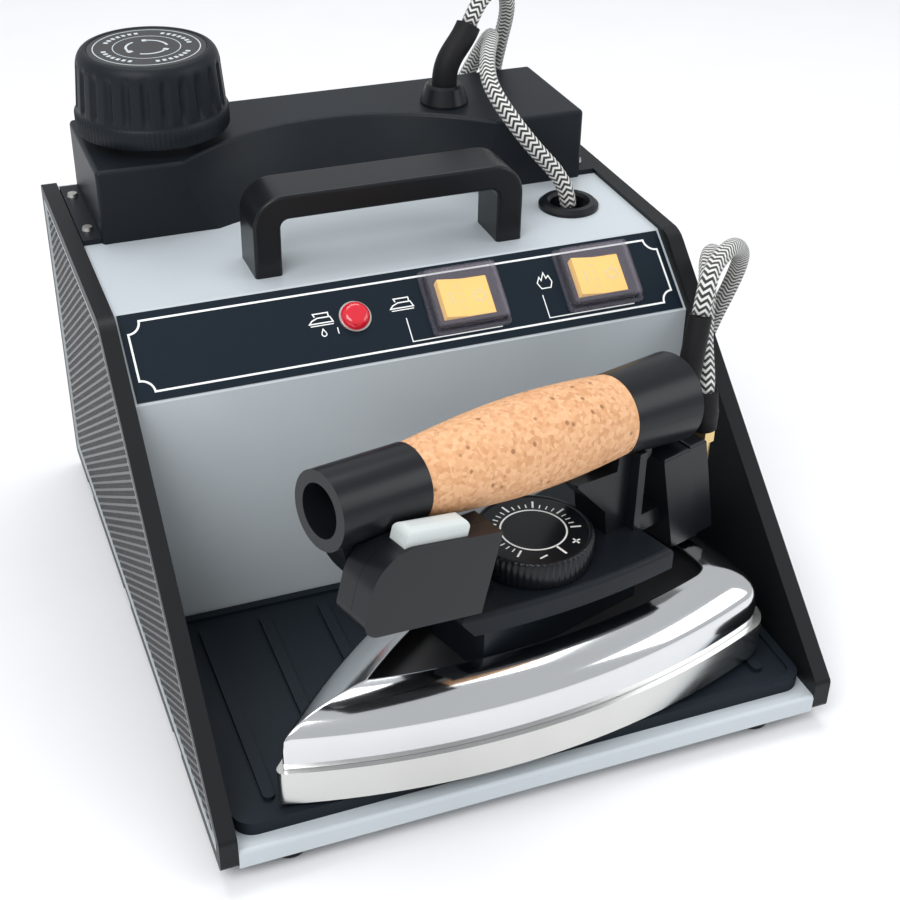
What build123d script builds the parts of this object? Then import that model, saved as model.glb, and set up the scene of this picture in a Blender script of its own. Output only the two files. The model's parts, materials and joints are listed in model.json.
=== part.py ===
"""Steam generator iron: a boiler cabinet with a parking tray in front, and an iron with a cork grip.

Millimetres, +Z up, the front of the cabinet towards -Y. The origin is on the floor, under the middle
of the cabinet. The iron is drawn in its own frame: s along its axis from the tip to the heel, w across
it (positive is the side away from the front lip) and z up from the bottom of its soleplate.
"""
from build123d import *
import os
from math import atan2, cos, hypot, pi, radians, sin, sqrt, tan

os.makedirs("parts", exist_ok=True)

# ---------------------------------------------------------------- driving dimensions: cabinet
width = 275.0            # over the two side panels
depth = 320.0            # front lip to the rear edges of the side panels
foot_h = 8.0             # what shows of a rubber foot
foot_r = 7.8
panel_t = 7.5            # side panel, with its rim
side_top = 165.5         # top edge of the side panels
knee_y = 8.5             # where the level top edge of a side panel turns down
nose_z = 23.2            # top of the short upright front end of a side panel
rim = 6.0                # border round the mesh field of a side panel
mesh_t = 1.0
pan_h = 8.5
sheet = 1.5
gap = 0.1                # between cabinet parts that lie side by side
deck_z = 163.5           # upper face of the top plate
console_top_y = 16.5
console_foot = (-17.5, 137.0)
rear_panel_y = 150.0
mat_front_y = -153.0
mat_back_y = -19.2
mat_floor_z = 21.3
mat_rim_z = 22.7
rib_top_z = 23.3
cover_top = 199.0        # top of the black rear cover
cover_front_y = 84.4
cover_back_y = 153.0
cover_half = 121.0
cap_x, cap_y = -85.8, 122.5
grommet_x, grommet_y = 100.5, 54.0
gland_x, gland_y = 59.0, 117.0
lamp_x, iron_switch_x, boiler_switch_x = -27.1, 24.7, 91.1
controls_up = 2.0        # the controls sit a little above the middle of the console

# ---------------------------------------------------------------- driving dimensions: iron
tip_x, tip_y = -112.0, -148.0
turn_deg = 17.5          # the parked iron points to the front left corner
iron_z = 23.7
sole_len = 232.0
half_w = 56.0
s_wide = 187.0
side_r = 340.0
sole_h = 17.5
tray_z0, tray_z1 = 55.0, 65.0
dial_s = 131.5
grip_slope = 5.7         # the grip drops towards the heel
grip_s, grip_z = 66.0, 128.4
grip_len = 105.0
box_slope = 15.0

# ---------------------------------------------------------------- frames
right_half = width / 2
inner_x = right_half - panel_t
floor_pan = foot_h
pan_top = foot_h + pan_h
turn = radians(turn_deg)
along = Vector(cos(turn), sin(turn), 0)
near_dir = Vector(sin(turn), -cos(turn), 0)
IRON = Plane(origin=(tip_x, tip_y, iron_z), x_dir=along, z_dir=(0, 0, 1))

console_rise = deck_z - console_foot[1]
console_run = console_top_y - console_foot[0]
console_len = hypot(console_rise, console_run)
console_a = atan2(console_rise, console_run)
CONSOLE = Plane(
    origin=(0, (console_top_y + console_foot[0]) / 2, (deck_z + console_foot[1]) / 2),
    x_dir=(1, 0, 0),
    z_dir=(0, -sin(console_a), cos(console_a)),
)


def iron_plane(z):
    """Level plane of the iron at height z over the bottom of its soleplate."""
    return IRON.offset(z)


def iron_side(w):
    """Upright plane along the iron at w: x is s, y is up, and it faces the front lip."""
    return Plane(origin=IRON.from_local_coords((0, w, 0)), x_dir=along, z_dir=near_dir)


def cabinet_side(x):
    """Upright plane across the cabinet at x: its x is the cabinet's y, its y is up."""
    return Plane(origin=(x, 0, 0), x_dir=(0, 1, 0), z_dir=(1, 0, 0))


def console_at(x, up, out=0.0):
    return Plane(
        origin=CONSOLE.from_local_coords((x, up, out)), x_dir=CONSOLE.x_dir, z_dir=CONSOLE.z_dir
    )


grip_a = radians(grip_slope)
grip_dir_s, grip_dir_z = cos(grip_a), -sin(grip_a)


def grip_plane(t):
    """Plane square to the grip, t along it from the front end of the cork."""
    spot = IRON.from_local_coords((grip_s + t * grip_dir_s, 0, grip_z + t * grip_dir_z))
    return Plane(origin=spot, x_dir=near_dir, z_dir=along * grip_dir_s + Vector(0, 0, grip_dir_z))


def iron_outline(inset):
    """Pointed outline of the sole, inset all round: two large arcs and a slightly round heel."""
    r = side_r - inset
    off = side_r - half_w
    s_tip = s_wide - sqrt(r * r - off * off)
    s_corner = sole_len - 4 - inset
    w_corner = sqrt(r * r - (s_corner - s_wide) ** 2) - off
    with BuildLine() as edge:
        ThreePointArc((s_tip, 0), (s_wide, r - off), (s_corner, w_corner))
        ThreePointArc((s_corner, w_corner), (sole_len - inset, 0), (s_corner, -w_corner))
        ThreePointArc((s_corner, -w_corner), (s_wide, off - r), (s_tip, 0))
    make_face(edge.edges())


def save(builder, name):
    builder.part.label = name
    export_step(builder.part, f"parts/{name}.step")


def side_profile(inset=0.0):
    """Outline of a side panel, inset all round."""
    with BuildLine() as edge:
        Polyline(
            (-depth / 2, floor_pan),
            (depth / 2, floor_pan),
            (depth / 2, side_top),
            (knee_y, side_top),
            (-depth / 2, nose_z),
            close=True,
        )
    make_face(edge.edges())
    if inset:
        offset(amount=-inset, kind=Kind.INTERSECTION, mode=Mode.REPLACE)


# ---------------------------------------------------------------- cabinet sheet metal
with BuildPart() as base_pan:
    with BuildSketch(Plane.XY.offset(floor_pan)):
        with Locations((0, -0.5)):
            Rectangle(2 * (inner_x - gap), depth - 1.0)
    extrude(amount=pan_h)
    fillet(base_pan.edges().filter_by(Axis.X).sort_by(Axis.Z)[-2:].sort_by(Axis.Y)[0], radius=1.6)
    with BuildSketch(Plane.XY.offset(floor_pan)):
        with Locations((0, -0.5)):
            Rectangle(2 * (inner_x - gap - sheet), depth - 1.0 - 2 * sheet)
    extrude(amount=pan_h - sheet, mode=Mode.SUBTRACT)
save(base_pan, "base_pan")

top_line = [
    (depth / 2 - 2.0, deck_z),
    (console_top_y, deck_z),
    console_foot,
    (console_foot[0], pan_top),
]
console_hole = (28.0, 22.0)
lamp_hole_r = 5.3
neck_r = 15.0
with BuildPart() as top_and_front_sheet:
    with BuildSketch(cabinet_side(-(inner_x - gap))):
        with BuildLine():
            fold = Polyline(*top_line)
            offset(fold, amount=sheet, side=Side.LEFT, kind=Kind.INTERSECTION)
        make_face()
    extrude(amount=2 * (inner_x - gap))
    for x in (iron_switch_x, boiler_switch_x):
        with BuildSketch(console_at(x, controls_up)):
            Rectangle(*console_hole)
        extrude(amount=10, both=True, mode=Mode.SUBTRACT)
    with BuildSketch(console_at(lamp_x, controls_up)):
        Circle(lamp_hole_r)
    extrude(amount=10, both=True, mode=Mode.SUBTRACT)
    with BuildSketch(Plane.XY.offset(deck_z + 1)):
        with Locations((grommet_x, grommet_y)):
            Circle(11.2)
        with Locations((cap_x, cap_y)):
            Circle(neck_r + 3)
        with Locations((gland_x, gland_y)):
            Circle(9.0)
        with Locations((-57.4, 40.0), (57.9, 40.0)):
            Circle(2.8)
    extrude(amount=-10, mode=Mode.SUBTRACT)
save(top_and_front_sheet, "top_and_front_sheet")

with BuildPart() as nameplate:
    with BuildSketch(CONSOLE):
        Rectangle(2 * inner_x - 3.0, console_len - 2.4)
        with Locations((iron_switch_x, controls_up), (boiler_switch_x, controls_up)):
            Rectangle(*console_hole, mode=Mode.SUBTRACT)
        with Locations((lamp_x, controls_up)):
            Circle(lamp_hole_r, mode=Mode.SUBTRACT)
    extrude(amount=0.6)
save(nameplate, "nameplate")

inlet_x, inlet_z = 96.0, 42.0
with BuildPart() as rear_panel:
    with BuildSketch(Plane.XZ.offset(-rear_panel_y)):
        with Locations((0, (pan_top + deck_z - sheet) / 2)):
            Rectangle(2 * (inner_x - gap), deck_z - sheet - pan_top)
        with Locations((inlet_x, inlet_z)):
            Circle(8.1, mode=Mode.SUBTRACT)
        for row in range(5):
            for side in (-1, 1):
                with Locations((side * 55, 70 + row * 12)):
                    SlotOverall(70, 4.5, mode=Mode.SUBTRACT)
    extrude(amount=-sheet)
save(rear_panel, "rear_panel")

notch_ys = (118.0, 22.0, -84.0)
for side, name in ((-1, "left"), (1, "right")):
    face_x = side * right_half
    with BuildPart() as side_panel:
        with BuildSketch(cabinet_side(side * inner_x)):
            side_profile()
        extrude(amount=side * panel_t)
        along_x = side_panel.edges().filter_by(Axis.X)
        knee = along_x.sort_by(Axis.Z)[-2:].sort_by(Axis.Y)[0]
        fillet(knee, radius=14.0)
        others = side_panel.edges().filter_by(Axis.X).filter_by(GeomType.LINE)
        corners = [e for e in others if abs(abs(e.center().Y) - depth / 2) < 0.1]
        fillet(corners, radius=3.0)
        with BuildSketch(cabinet_side(face_x)):
            side_profile(rim)
        extrude(amount=-side * (mesh_t + 0.3), mode=Mode.SUBTRACT)
        for y in notch_ys:
            with BuildSketch(cabinet_side(face_x)):
                with Locations((y, floor_pan)):
                    Rectangle(16, 5.0)
            extrude(amount=-side * 3.0, mode=Mode.SUBTRACT)
    save(side_panel, f"{name}_side_panel")
    with BuildPart() as mesh_sheet:
        with BuildSketch(cabinet_side(face_x - side * (mesh_t + 0.3))):
            side_profile(rim + 0.2)
        extrude(amount=side * mesh_t)
    save(mesh_sheet, f"{name}_mesh_sheet")

# ---------------------------------------------------------------- tray mat, feet
with BuildPart() as tray_mat:
    with BuildSketch(Plane.XY.offset(pan_top)):
        with Locations((0, (mat_front_y + mat_back_y) / 2)):
            RectangleRounded(2 * (inner_x - 1.2), mat_back_y - mat_front_y, 9.0)
    extrude(amount=mat_rim_z - pan_top)
    with BuildSketch(Plane.XY.offset(mat_rim_z)):
        with Locations((0, (mat_front_y + mat_back_y) / 2)):
            RectangleRounded(2 * (inner_x - 5.2), mat_back_y - mat_front_y - 8.0, 6.0)
    extrude(amount=-(mat_rim_z - mat_floor_z), mode=Mode.SUBTRACT)
    with BuildSketch(Plane.XY.offset(mat_floor_z)):
        with Locations(*[(-112 + 28 * i, -86) for i in range(9)]):
            SlotOverall(112, 5.0, rotation=90)
    extrude(amount=rib_top_z - mat_floor_z)
save(tray_mat, "tray_mat")

foot_spots = [(-107, -148), (107, -148), (-107, 142), (107, 142)]
with BuildPart() as rubber_feet:
    for x, y in foot_spots:
        with BuildSketch(Plane.XY):
            with Locations((x, y)):
                Circle(foot_r)
        extrude(amount=pan_top - sheet)
    bottoms = rubber_feet.faces().filter_by(Plane.XY).group_by(Axis.Z)[0].edges()
    fillet(bottoms, radius=2.0)
save(rubber_feet, "rubber_feet")

# ---------------------------------------------------------------- carrying handle
handle_half = 64.0
handle_y0, handle_y1 = 27.5, 52.5
handle_top = 201.5
leg_w = 12.5
bar_h = 11.5
with BuildPart() as carrying_handle:
    with BuildSketch(Plane.XZ.offset(-handle_y0)):
        with BuildLine():
            Polyline(
                (-handle_half, deck_z),
                (-handle_half, handle_top),
                (handle_half, handle_top),
                (handle_half, deck_z),
                (handle_half - leg_w, deck_z),
                (handle_half - leg_w, handle_top - bar_h),
                (leg_w - handle_half, handle_top - bar_h),
                (leg_w - handle_half, deck_z),
                close=True,
            )
        make_face()
        tops = vertices().group_by(Axis.Y)[-1]
        fillet(tops, radius=15.0)
        unders = [v for v in vertices() if abs(v.Y - handle_top + bar_h) < 0.1]
        fillet(unders, radius=4.0)
    extrude(amount=-(handle_y1 - handle_y0))
    front = carrying_handle.faces().sort_by(Axis.Y)[0]
    back = carrying_handle.faces().sort_by(Axis.Y)[-1]
    rims = [e for f in (front, back) for e in f.edges() if e.center().Z > deck_z + 1]
    fillet(rims, radius=1.5)
    with BuildSketch(Plane.XY.offset(deck_z)):
        with Locations((-57.4, 40.0), (57.9, 40.0)):
            Circle(2.6)
    extrude(amount=14, mode=Mode.SUBTRACT)
save(carrying_handle, "carrying_handle")

cover_screw_spots = [(-125.4, 98.0), (-125.4, 138.0), (125.4, 98.0), (125.4, 138.0)]
flange_t = 2.6
with BuildPart() as cabinet_screws:
    for x in (-57.4, 57.9):
        with BuildSketch(Plane.XY.offset(deck_z - sheet - 3.0)):
            with Locations((x, 40.0)):
                Circle(4.6)
        extrude(amount=3.0)
        with BuildSketch(Plane.XY.offset(deck_z - sheet)):
            with Locations((x, 40.0)):
                Circle(2.4)
        extrude(amount=14)
    for x, y in cover_screw_spots:
        with BuildSketch(Plane.XY.offset(deck_z + flange_t)):
            with Locations((x, y)):
                Circle(2.7)
        extrude(amount=1.5, taper=18)
save(cabinet_screws, "cabinet_screws")

# ---------------------------------------------------------------- black rear cover
cover_wall = 2.5


scoop_x = -3.5
scoop_top = (cover_top + 0.5, 77.5, 32.0)
scoop_low = (deck_z - 0.5, 62.0, 13.0)


def scoop_slice(z, half_chord, deep, grow):
    """Slice of the hand space in front of the cover: a circle that cuts `deep` behind its face."""
    r = (half_chord * half_chord + deep * deep) / (2 * deep) + grow
    with BuildSketch(Plane.XY.offset(z)) as piece:
        with Locations((scoop_x, cover_front_y + deep + 2 * grow - r)):
            Circle(r)
    return piece.sketch


with BuildPart() as hand_space:
    add(scoop_slice(*scoop_low, 0.0))
    add(scoop_slice(*scoop_top, 0.0))
    loft(ruled=True)
with BuildPart() as hand_space_inner:
    add(scoop_slice(*scoop_low, cover_wall / 2))
    add(scoop_slice(*scoop_top, cover_wall / 2))
    loft(ruled=True)

with BuildPart() as cover_inside:
    with BuildSketch(Plane.XY.offset(deck_z)):
        with Locations((0, (cover_front_y + cover_back_y) / 2)):
            Rectangle(2 * (cover_half - cover_wall), cover_back_y - cover_front_y - 2 * cover_wall)
    extrude(amount=cover_top - deck_z - cover_wall)
    add(hand_space_inner.part, mode=Mode.SUBTRACT)

with BuildPart() as rear_cover:
    with BuildSketch(Plane.XY.offset(deck_z)):
        with Locations((0, (cover_front_y + cover_back_y) / 2)):
            RectangleRounded(2 * cover_half, cover_back_y - cover_front_y, 2.0)
    extrude(amount=cover_top - deck_z)
    add(hand_space.part, mode=Mode.SUBTRACT)
    top_edges = rear_cover.faces().filter_by(Plane.XY).sort_by(Axis.Z)[-1].edges()
    fillet(top_edges, radius=2.2)
    with BuildSketch(Plane.XY.offset(deck_z)):
        for side in (-1, 1):
            with Locations((side * (cover_half + 3.8), (cover_front_y + cover_back_y) / 2)):
                Rectangle(9.6, cover_back_y - cover_front_y - 4.0)
    extrude(amount=flange_t)
    add(cover_inside.part, mode=Mode.SUBTRACT)
    with BuildSketch(Plane.XY.offset(cover_top + 1)):
        with Locations((cap_x, cap_y)):
            Circle(neck_r + 0.6)
        with Locations((gland_x, gland_y)):
            Circle(6.6)
    extrude(amount=-10, mode=Mode.SUBTRACT)
save(rear_cover, "rear_cover")

# ---------------------------------------------------------------- hose gland, its sleeve, the grommet
gland_top = 209.0
with BuildPart() as hose_gland:
    with BuildSketch(Plane.XZ.offset(-gland_y)):
        with BuildLine():
            Polyline(
                (gland_x + 4.4, cover_top - 12),
                (gland_x + 6.4, cover_top - 12),
                (gland_x + 6.4, cover_top),
                (gland_x + 12.0, cover_top),
                (gland_x + 12.0, cover_top + 1.4),
                (gland_x + 9.4, gland_top - 1.2),
                (gland_x + 8.2, gland_top),
                (gland_x + 4.4, gland_top),
                close=True,
            )
        make_face()
    revolve(axis=Axis((gland_x, gland_y, 0), (0, 0, 1)))
save(hose_gland, "hose_gland")

sleeve_r = 6.2
sleeve_tip = Vector(74.0, 124.0, 234.0)
hose_exit_dir = Vector(0.50, 0.30, 0.81).normalized()
with BuildPart() as hose_sleeve:
    with BuildLine():
        Bezier(
            (gland_x, gland_y, gland_top),
            (gland_x, gland_y, gland_top + 14),
            sleeve_tip - hose_exit_dir * 12,
            sleeve_tip,
        )
    with BuildSketch(Plane(origin=(gland_x, gland_y, gland_top), z_dir=(0, 0, 1))):
        Circle(sleeve_r)
    sweep()
save(hose_sleeve, "hose_sleeve")

with BuildPart() as cord_grommet:
    with BuildSketch(Plane.XZ.offset(-grommet_y)):
        with BuildLine():
            Polyline(
                (grommet_x + 9.0, deck_z - sheet - 2.2),
                (grommet_x + 13.0, deck_z - sheet - 2.2),
                (grommet_x + 13.0, deck_z - sheet),
                (grommet_x + 11.1, deck_z - sheet),
                (grommet_x + 11.1, deck_z),
                (grommet_x + 14.7, deck_z),
                (grommet_x + 14.7, deck_z + 1.6),
                (grommet_x + 12.9, deck_z + 3.2),
                (grommet_x + 10.4, deck_z + 3.2),
                (grommet_x + 9.0, deck_z + 1.8),
                close=True,
            )
        make_face()
    revolve(axis=Axis((grommet_x, grommet_y, 0), (0, 0, 1)))
save(cord_grommet, "cord_grommet")

# ---------------------------------------------------------------- switches, splash covers, pilot lamp
rocker_tilt = 8.0
plate_t = 0.6


def build_switch(x, name):
    base = console_at(x, controls_up)
    flat = [
        (-12.4, 3.6),
        (0.0, 2.2),
        (12.4, 3.6),
        (12.0, -1.0),
        (4.0, -5.0),
        (-4.0, -5.0),
        (-12.0, -1.0),
    ]
    with BuildPart() as housing:
        with BuildSketch(base.offset(-18)):
            Rectangle(27.4, 21.4)
        extrude(amount=18 + plate_t)
        with BuildSketch(base.offset(plate_t)):
            RectangleRounded(32, 26, 1.5)
        extrude(amount=1.8)
        with BuildSketch(base.offset(plate_t + 1.8)):
            Rectangle(26.4, 19.4)
        extrude(amount=-(plate_t + 1.8 + 6.6), mode=Mode.SUBTRACT)
        with BuildSketch(Plane(origin=base.origin, x_dir=base.x_dir, z_dir=base.y_dir)):
            Circle(1.35)
        extrude(amount=10.4, both=True, mode=Mode.SUBTRACT)
    save(housing, f"{name}_switch_housing")
    with BuildPart() as rocker:
        tilted = Plane(origin=base.origin, x_dir=base.x_dir, z_dir=-base.y_dir).rotated((0, 0, 0))
        with BuildSketch(tilted):
            with BuildLine():
                turned = [
                    (
                        px * cos(radians(rocker_tilt)) + pz * sin(radians(rocker_tilt)),
                        pz * cos(radians(rocker_tilt)) - px * sin(radians(rocker_tilt)),
                    )
                    for px, pz in flat
                ]
                Polyline(*turned, close=True)
            make_face()
        extrude(amount=9.3, both=True)
        with BuildSketch(Plane(origin=base.origin, x_dir=base.x_dir, z_dir=base.y_dir)):
            Circle(1.3)
        extrude(amount=10.3, both=True)
    save(rocker, f"{name}_switch_rocker")
    with BuildPart() as splash_cover:
        with BuildSketch(base.offset(plate_t)):
            RectangleRounded(37.8, 31.8, 2.0)
        extrude(amount=1.2)
        with BuildSketch(base.offset(plate_t)):
            RectangleRounded(34.6, 28.6, 2.0)
        extrude(amount=7.0)
        top = splash_cover.faces().filter_by(base).sort_by(Axis(base.origin, base.z_dir))[-1]
        fillet(top.edges(), radius=1.2)
        with BuildSketch(base.offset(plate_t)):
            RectangleRounded(32.6, 26.6, 1.6)
        extrude(amount=6.2, mode=Mode.SUBTRACT)
    save(splash_cover, f"{name}_switch_cover")


build_switch(iron_switch_x, "iron")
build_switch(boiler_switch_x, "boiler")

lamp_base = console_at(lamp_x, controls_up)
with BuildPart() as pilot_lamp_holder:
    with BuildSketch(lamp_base.offset(-16)):
        Circle(5.0)
    extrude(amount=16 + plate_t)
    with BuildSketch(lamp_base.offset(plate_t)):
        Circle(7.3)
    extrude(amount=0.9)
save(pilot_lamp_holder, "pilot_lamp_holder")
with BuildPart() as pilot_lamp_lens:
    with BuildSketch(lamp_base.offset(plate_t + 0.9)):
        Circle(6.6)
    extrude(amount=3.6)
    lens_top = pilot_lamp_lens.faces().sort_by(Axis(lamp_base.origin, lamp_base.z_dir))[-1]
    fillet(lens_top.edges(), radius=3.4)
save(pilot_lamp_lens, "pilot_lamp_lens")

# ---------------------------------------------------------------- boiler and what hangs on it
boiler_y, boiler_z = 90.0, 76.0
boiler_r = 46.0
boiler_x0, boiler_x1 = -114.0, 66.0
boiler_wall = 2.0
neck_top = 206.0
boiler_axis = Axis((0, boiler_y, boiler_z), (1, 0, 0))


def tank_profile(inset):
    r = boiler_r - inset
    x0, x1 = boiler_x0 + inset, boiler_x1 - inset
    with BuildLine() as edge:
        Line((x0, 0), (x1, 0))
        ThreePointArc((x1, 0), (x1 - 5.0, r * 0.62), (x1 - 16, r))
        Line((x1 - 16, r), (x0 + 16, r))
        ThreePointArc((x0 + 16, r), (x0 + 5.0, r * 0.62), (x0, 0))
    make_face(edge.edges())


tank_plane = Plane(origin=(0, boiler_y, boiler_z), x_dir=(1, 0, 0), z_dir=(0, -1, 0))
with BuildPart() as tank_room:
    with BuildSketch(tank_plane):
        tank_profile(boiler_wall)
    revolve(axis=boiler_axis)
    with BuildSketch(Plane.XY.offset(100)):
        with Locations((cap_x, cap_y)):
            Circle(11.0)
    extrude(amount=neck_top + 1 - 100)
    with BuildSketch(Plane.YZ.offset(boiler_x1 - 12)):
        with Locations((boiler_y, boiler_z)):
            Circle(16.0)
    extrude(amount=20)
with BuildPart() as boiler_tank:
    with BuildSketch(tank_plane):
        tank_profile(0)
    revolve(axis=boiler_axis)
    with BuildSketch(Plane.XY.offset(100)):
        with Locations((cap_x, cap_y)):
            Circle(neck_r)
    extrude(amount=neck_top - 100)
    with BuildSketch(Plane.XY.offset(cover_top + 0.2)):
        with Locations((cap_x, cap_y)):
            Circle(22.0)
    extrude(amount=3.4)
    with BuildSketch(Plane.YZ.offset(boiler_x1 - 8)):
        with Locations((boiler_y, boiler_z)):
            Circle(24.0)
    extrude(amount=10)
    add(tank_room.part, mode=Mode.SUBTRACT)
save(boiler_tank, "boiler_tank")

heater_x = boiler_x1 + 2.0
with BuildPart() as boiler_heater:
    with BuildSketch(Plane.YZ.offset(heater_x)):
        with Locations((boiler_y, boiler_z)):
            Circle(24.0)
    extrude(amount=3.0)
    with BuildSketch(Plane.YZ.offset(heater_x + 3.0)):
        with Locations((boiler_y - 9, boiler_z - 6), (boiler_y + 9, boiler_z - 6)):
            Circle(3.2)
    extrude(amount=12.0)
    with BuildLine():
        FilletPolyline(
            (heater_x, boiler_y - 9, boiler_z - 6),
            (-40, boiler_y - 9, boiler_z - 6),
            (-40, boiler_y + 9, boiler_z - 6),
            (heater_x, boiler_y + 9, boiler_z - 6),
            radius=8.5,
        )
    with BuildSketch(Plane(origin=(heater_x, boiler_y - 9, boiler_z - 6), z_dir=(-1, 0, 0))):
        Circle(4.0)
    sweep()
save(boiler_heater, "boiler_heater")

with BuildPart() as boiler_cradles:
    for x in (-72.0, 18.0):
        with BuildSketch(cabinet_side(x)):
            with Locations((boiler_y, (pan_top + 44) / 2)):
                Rectangle(64, 44 - pan_top)
        extrude(amount=12)
    with BuildSketch(Plane.YZ.offset(-100)):
        with Locations((boiler_y, boiler_z)):
            Circle(boiler_r + 0.1)
    extrude(amount=200, mode=Mode.SUBTRACT)
save(boiler_cradles, "boiler_cradles")

boiler_top = boiler_z + boiler_r
with BuildPart() as pressure_switch:
    with BuildSketch(Plane.XY.offset(boiler_top)):
        with Locations((-20, boiler_y)):
            RegularPolygon(7.0, 6)
    extrude(amount=8)
    with BuildSketch(Plane.XY.offset(boiler_top + 8)):
        with Locations((-20, boiler_y)):
            Circle(13.0)
    extrude(amount=16)
    with BuildSketch(Plane.XY.offset(boiler_top + 24)):
        with Locations((-24, boiler_y), (-16, boiler_y)):
            Rectangle(1.0, 6.0)
    extrude(amount=7)
save(pressure_switch, "pressure_switch")

with BuildPart() as safety_thermostat:
    with BuildSketch(Plane.XY.offset(boiler_top)):
        with Locations((8, boiler_y)):
            Circle(8.0)
    extrude(amount=5)
    with BuildSketch(Plane.XY.offset(boiler_top + 5)):
        with Locations((8, boiler_y)):
            Circle(6.4)
    extrude(amount=7)
save(safety_thermostat, "safety_thermostat")

valve_x = 38.0
with BuildPart() as solenoid_valve:
    with BuildSketch(Plane.XY.offset(boiler_top)):
        with Locations((valve_x, boiler_y)):
            Circle(6.0)
    extrude(amount=6)
    with BuildSketch(Plane.XY.offset(boiler_top + 6)):
        with Locations((valve_x, boiler_y)):
            Rectangle(22, 20)
    extrude(amount=12)
    with BuildSketch(Plane.XY.offset(boiler_top + 18)):
        with Locations((valve_x - 2, boiler_y)):
            Circle(8.5)
    extrude(amount=18)
save(solenoid_valve, "solenoid_valve")

pipe_z = boiler_top + 12
with BuildPart() as steam_pipe:
    with BuildLine():
        FilletPolyline(
            (valve_x + 11.2, boiler_y, pipe_z),
            (gland_x, boiler_y, pipe_z),
            (gland_x, gland_y, pipe_z),
            (gland_x, gland_y, cover_top - 4),
            radius=7.0,
        )
    with BuildSketch(Plane(origin=(valve_x + 11.2, boiler_y, pipe_z), z_dir=(1, 0, 0))):
        Circle(3.0)
    sweep()
save(steam_pipe, "steam_pipe")

with BuildPart() as terminal_block:
    with BuildSketch(Plane.XY.offset(pan_top)):
        with Locations((98, 60)):
            Rectangle(44, 22)
    extrude(amount=18)
    with BuildSketch(Plane.XY.offset(pan_top + 18)):
        with Locations(*[(98 + dx, 60) for dx in (-15, -5, 5, 15)]):
            Circle(2.6)
    extrude(amount=-3, mode=Mode.SUBTRACT)
save(terminal_block, "terminal_block")

with BuildPart() as mains_gland:
    with BuildSketch(Plane.XZ.offset(-(rear_panel_y - 8))):
        with Locations((inlet_x, inlet_z)):
            Circle(8.0)
    extrude(amount=-9.5)
    with BuildSketch(Plane.XZ.offset(-(rear_panel_y + sheet))):
        with Locations((inlet_x, inlet_z)):
            RegularPolygon(11.0, 6)
    extrude(amount=-4.5)
    with BuildSketch(Plane.XZ.offset(-(rear_panel_y + sheet + 4.5))):
        with Locations((inlet_x, inlet_z)):
            Circle(7.4)
    extrude(amount=-9.9)
    with BuildSketch(Plane.XZ.offset(-(rear_panel_y - 9))):
        with Locations((inlet_x, inlet_z)):
            Circle(4.2)
    extrude(amount=-20, mode=Mode.SUBTRACT)
save(mains_gland, "mains_gland")

# ---------------------------------------------------------------- screw cap of the boiler
cap_z0, cap_z1 = 204.0, 241.0
cap_axis = Axis((cap_x, cap_y, 0), (0, 0, 1))
flutes = 24


def turned(points):
    """Face on the upright plane through the cap's axis, points as (radius, z)."""
    with BuildSketch(Plane.XZ.offset(-cap_y)) as piece:
        with BuildLine():
            Polyline(*[(cap_x + r, z) for r, z in points], close=True)
        make_face()
    return piece.sketch


with BuildPart() as cap_shell:
    add(turned(
        [
            (31.2, cap_z0),
            (36.0, cap_z0),
            (36.0, cap_z0 + 9.0),
            (35.0, cap_z0 + 10.0),
            (33.6, cap_z1 - 9.0),
            (32.4, cap_z1 - 4.0),
            (30.2, cap_z1 - 0.8),
            (28.0, cap_z1),
            (27.4, cap_z1),
            (27.4, cap_z1 - 1.6),
            (10.0, cap_z1 - 1.6),
            (10.0, cap_z1 - 15.0),
            (14.0, cap_z1 - 15.0),
            (14.0, cap_z1 - 5.0),
            (30.0, cap_z1 - 7.0),
        ]
    ))
    revolve(axis=cap_axis)
    with BuildSketch(Plane.XY.offset(cap_z0 + 12.5)):
        with Locations((cap_x, cap_y)):
            with PolarLocations(36.4, flutes):
                Circle(2.6)
    extrude(amount=17.5, taper=-1.5, mode=Mode.SUBTRACT)
save(cap_shell, "cap_shell")

with BuildPart() as cap_disc:
    with BuildSketch(Plane.XY.offset(cap_z1 - 1.6)):
        with Locations((cap_x, cap_y)):
            Circle(27.2)
    extrude(amount=1.2)
save(cap_disc, "cap_disc")

with BuildPart() as cap_stopper:
    add(turned(
        [
            (4.0, 186.0),
            (10.6, 186.0),
            (10.6, neck_top + 0.3),
            (10.8, neck_top + 0.3),
            (10.8, neck_top + 2.3),
            (15.0, neck_top + 2.3),
            (15.0, cap_z1 - 15.2),
            (9.8, cap_z1 - 15.2),
            (9.8, cap_z1 - 1.8),
            (4.0, cap_z1 - 1.8),
        ]
    ))
    revolve(axis=cap_axis)
save(cap_stopper, "cap_stopper")

with BuildPart() as cap_seal:
    seal_z0, seal_z1 = neck_top + 0.3, neck_top + 2.3
    add(turned([(10.9, seal_z0), (14.8, seal_z0), (14.8, seal_z1), (10.9, seal_z1)]))
    revolve(axis=cap_axis)
save(cap_seal, "cap_seal")

with BuildPart() as relief_plunger:
    add(turned([(0, 184.0), (3.7, 184.0), (3.7, 212.0), (2.4, 214.0), (2.4, 230.0), (0, 230.0)]))
    revolve(axis=cap_axis)
save(relief_plunger, "relief_plunger")

# ---------------------------------------------------------------- iron: sole and cover


def iron_face(z, inset, tip_r=3.0, heel_r=14.0):
    """Face with the iron's outline at height z, its three corners rounded."""
    with BuildSketch(iron_plane(z)) as face:
        iron_outline(inset)
        fillet(vertices().sort_by(Axis.X)[0], radius=tip_r)
        ends = [v for v in vertices() if v.X > s_wide + 10]
        fillet(sorted(ends, key=lambda v: abs(v.Y))[-2:], radius=heel_r)
    return face.sketch


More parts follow.
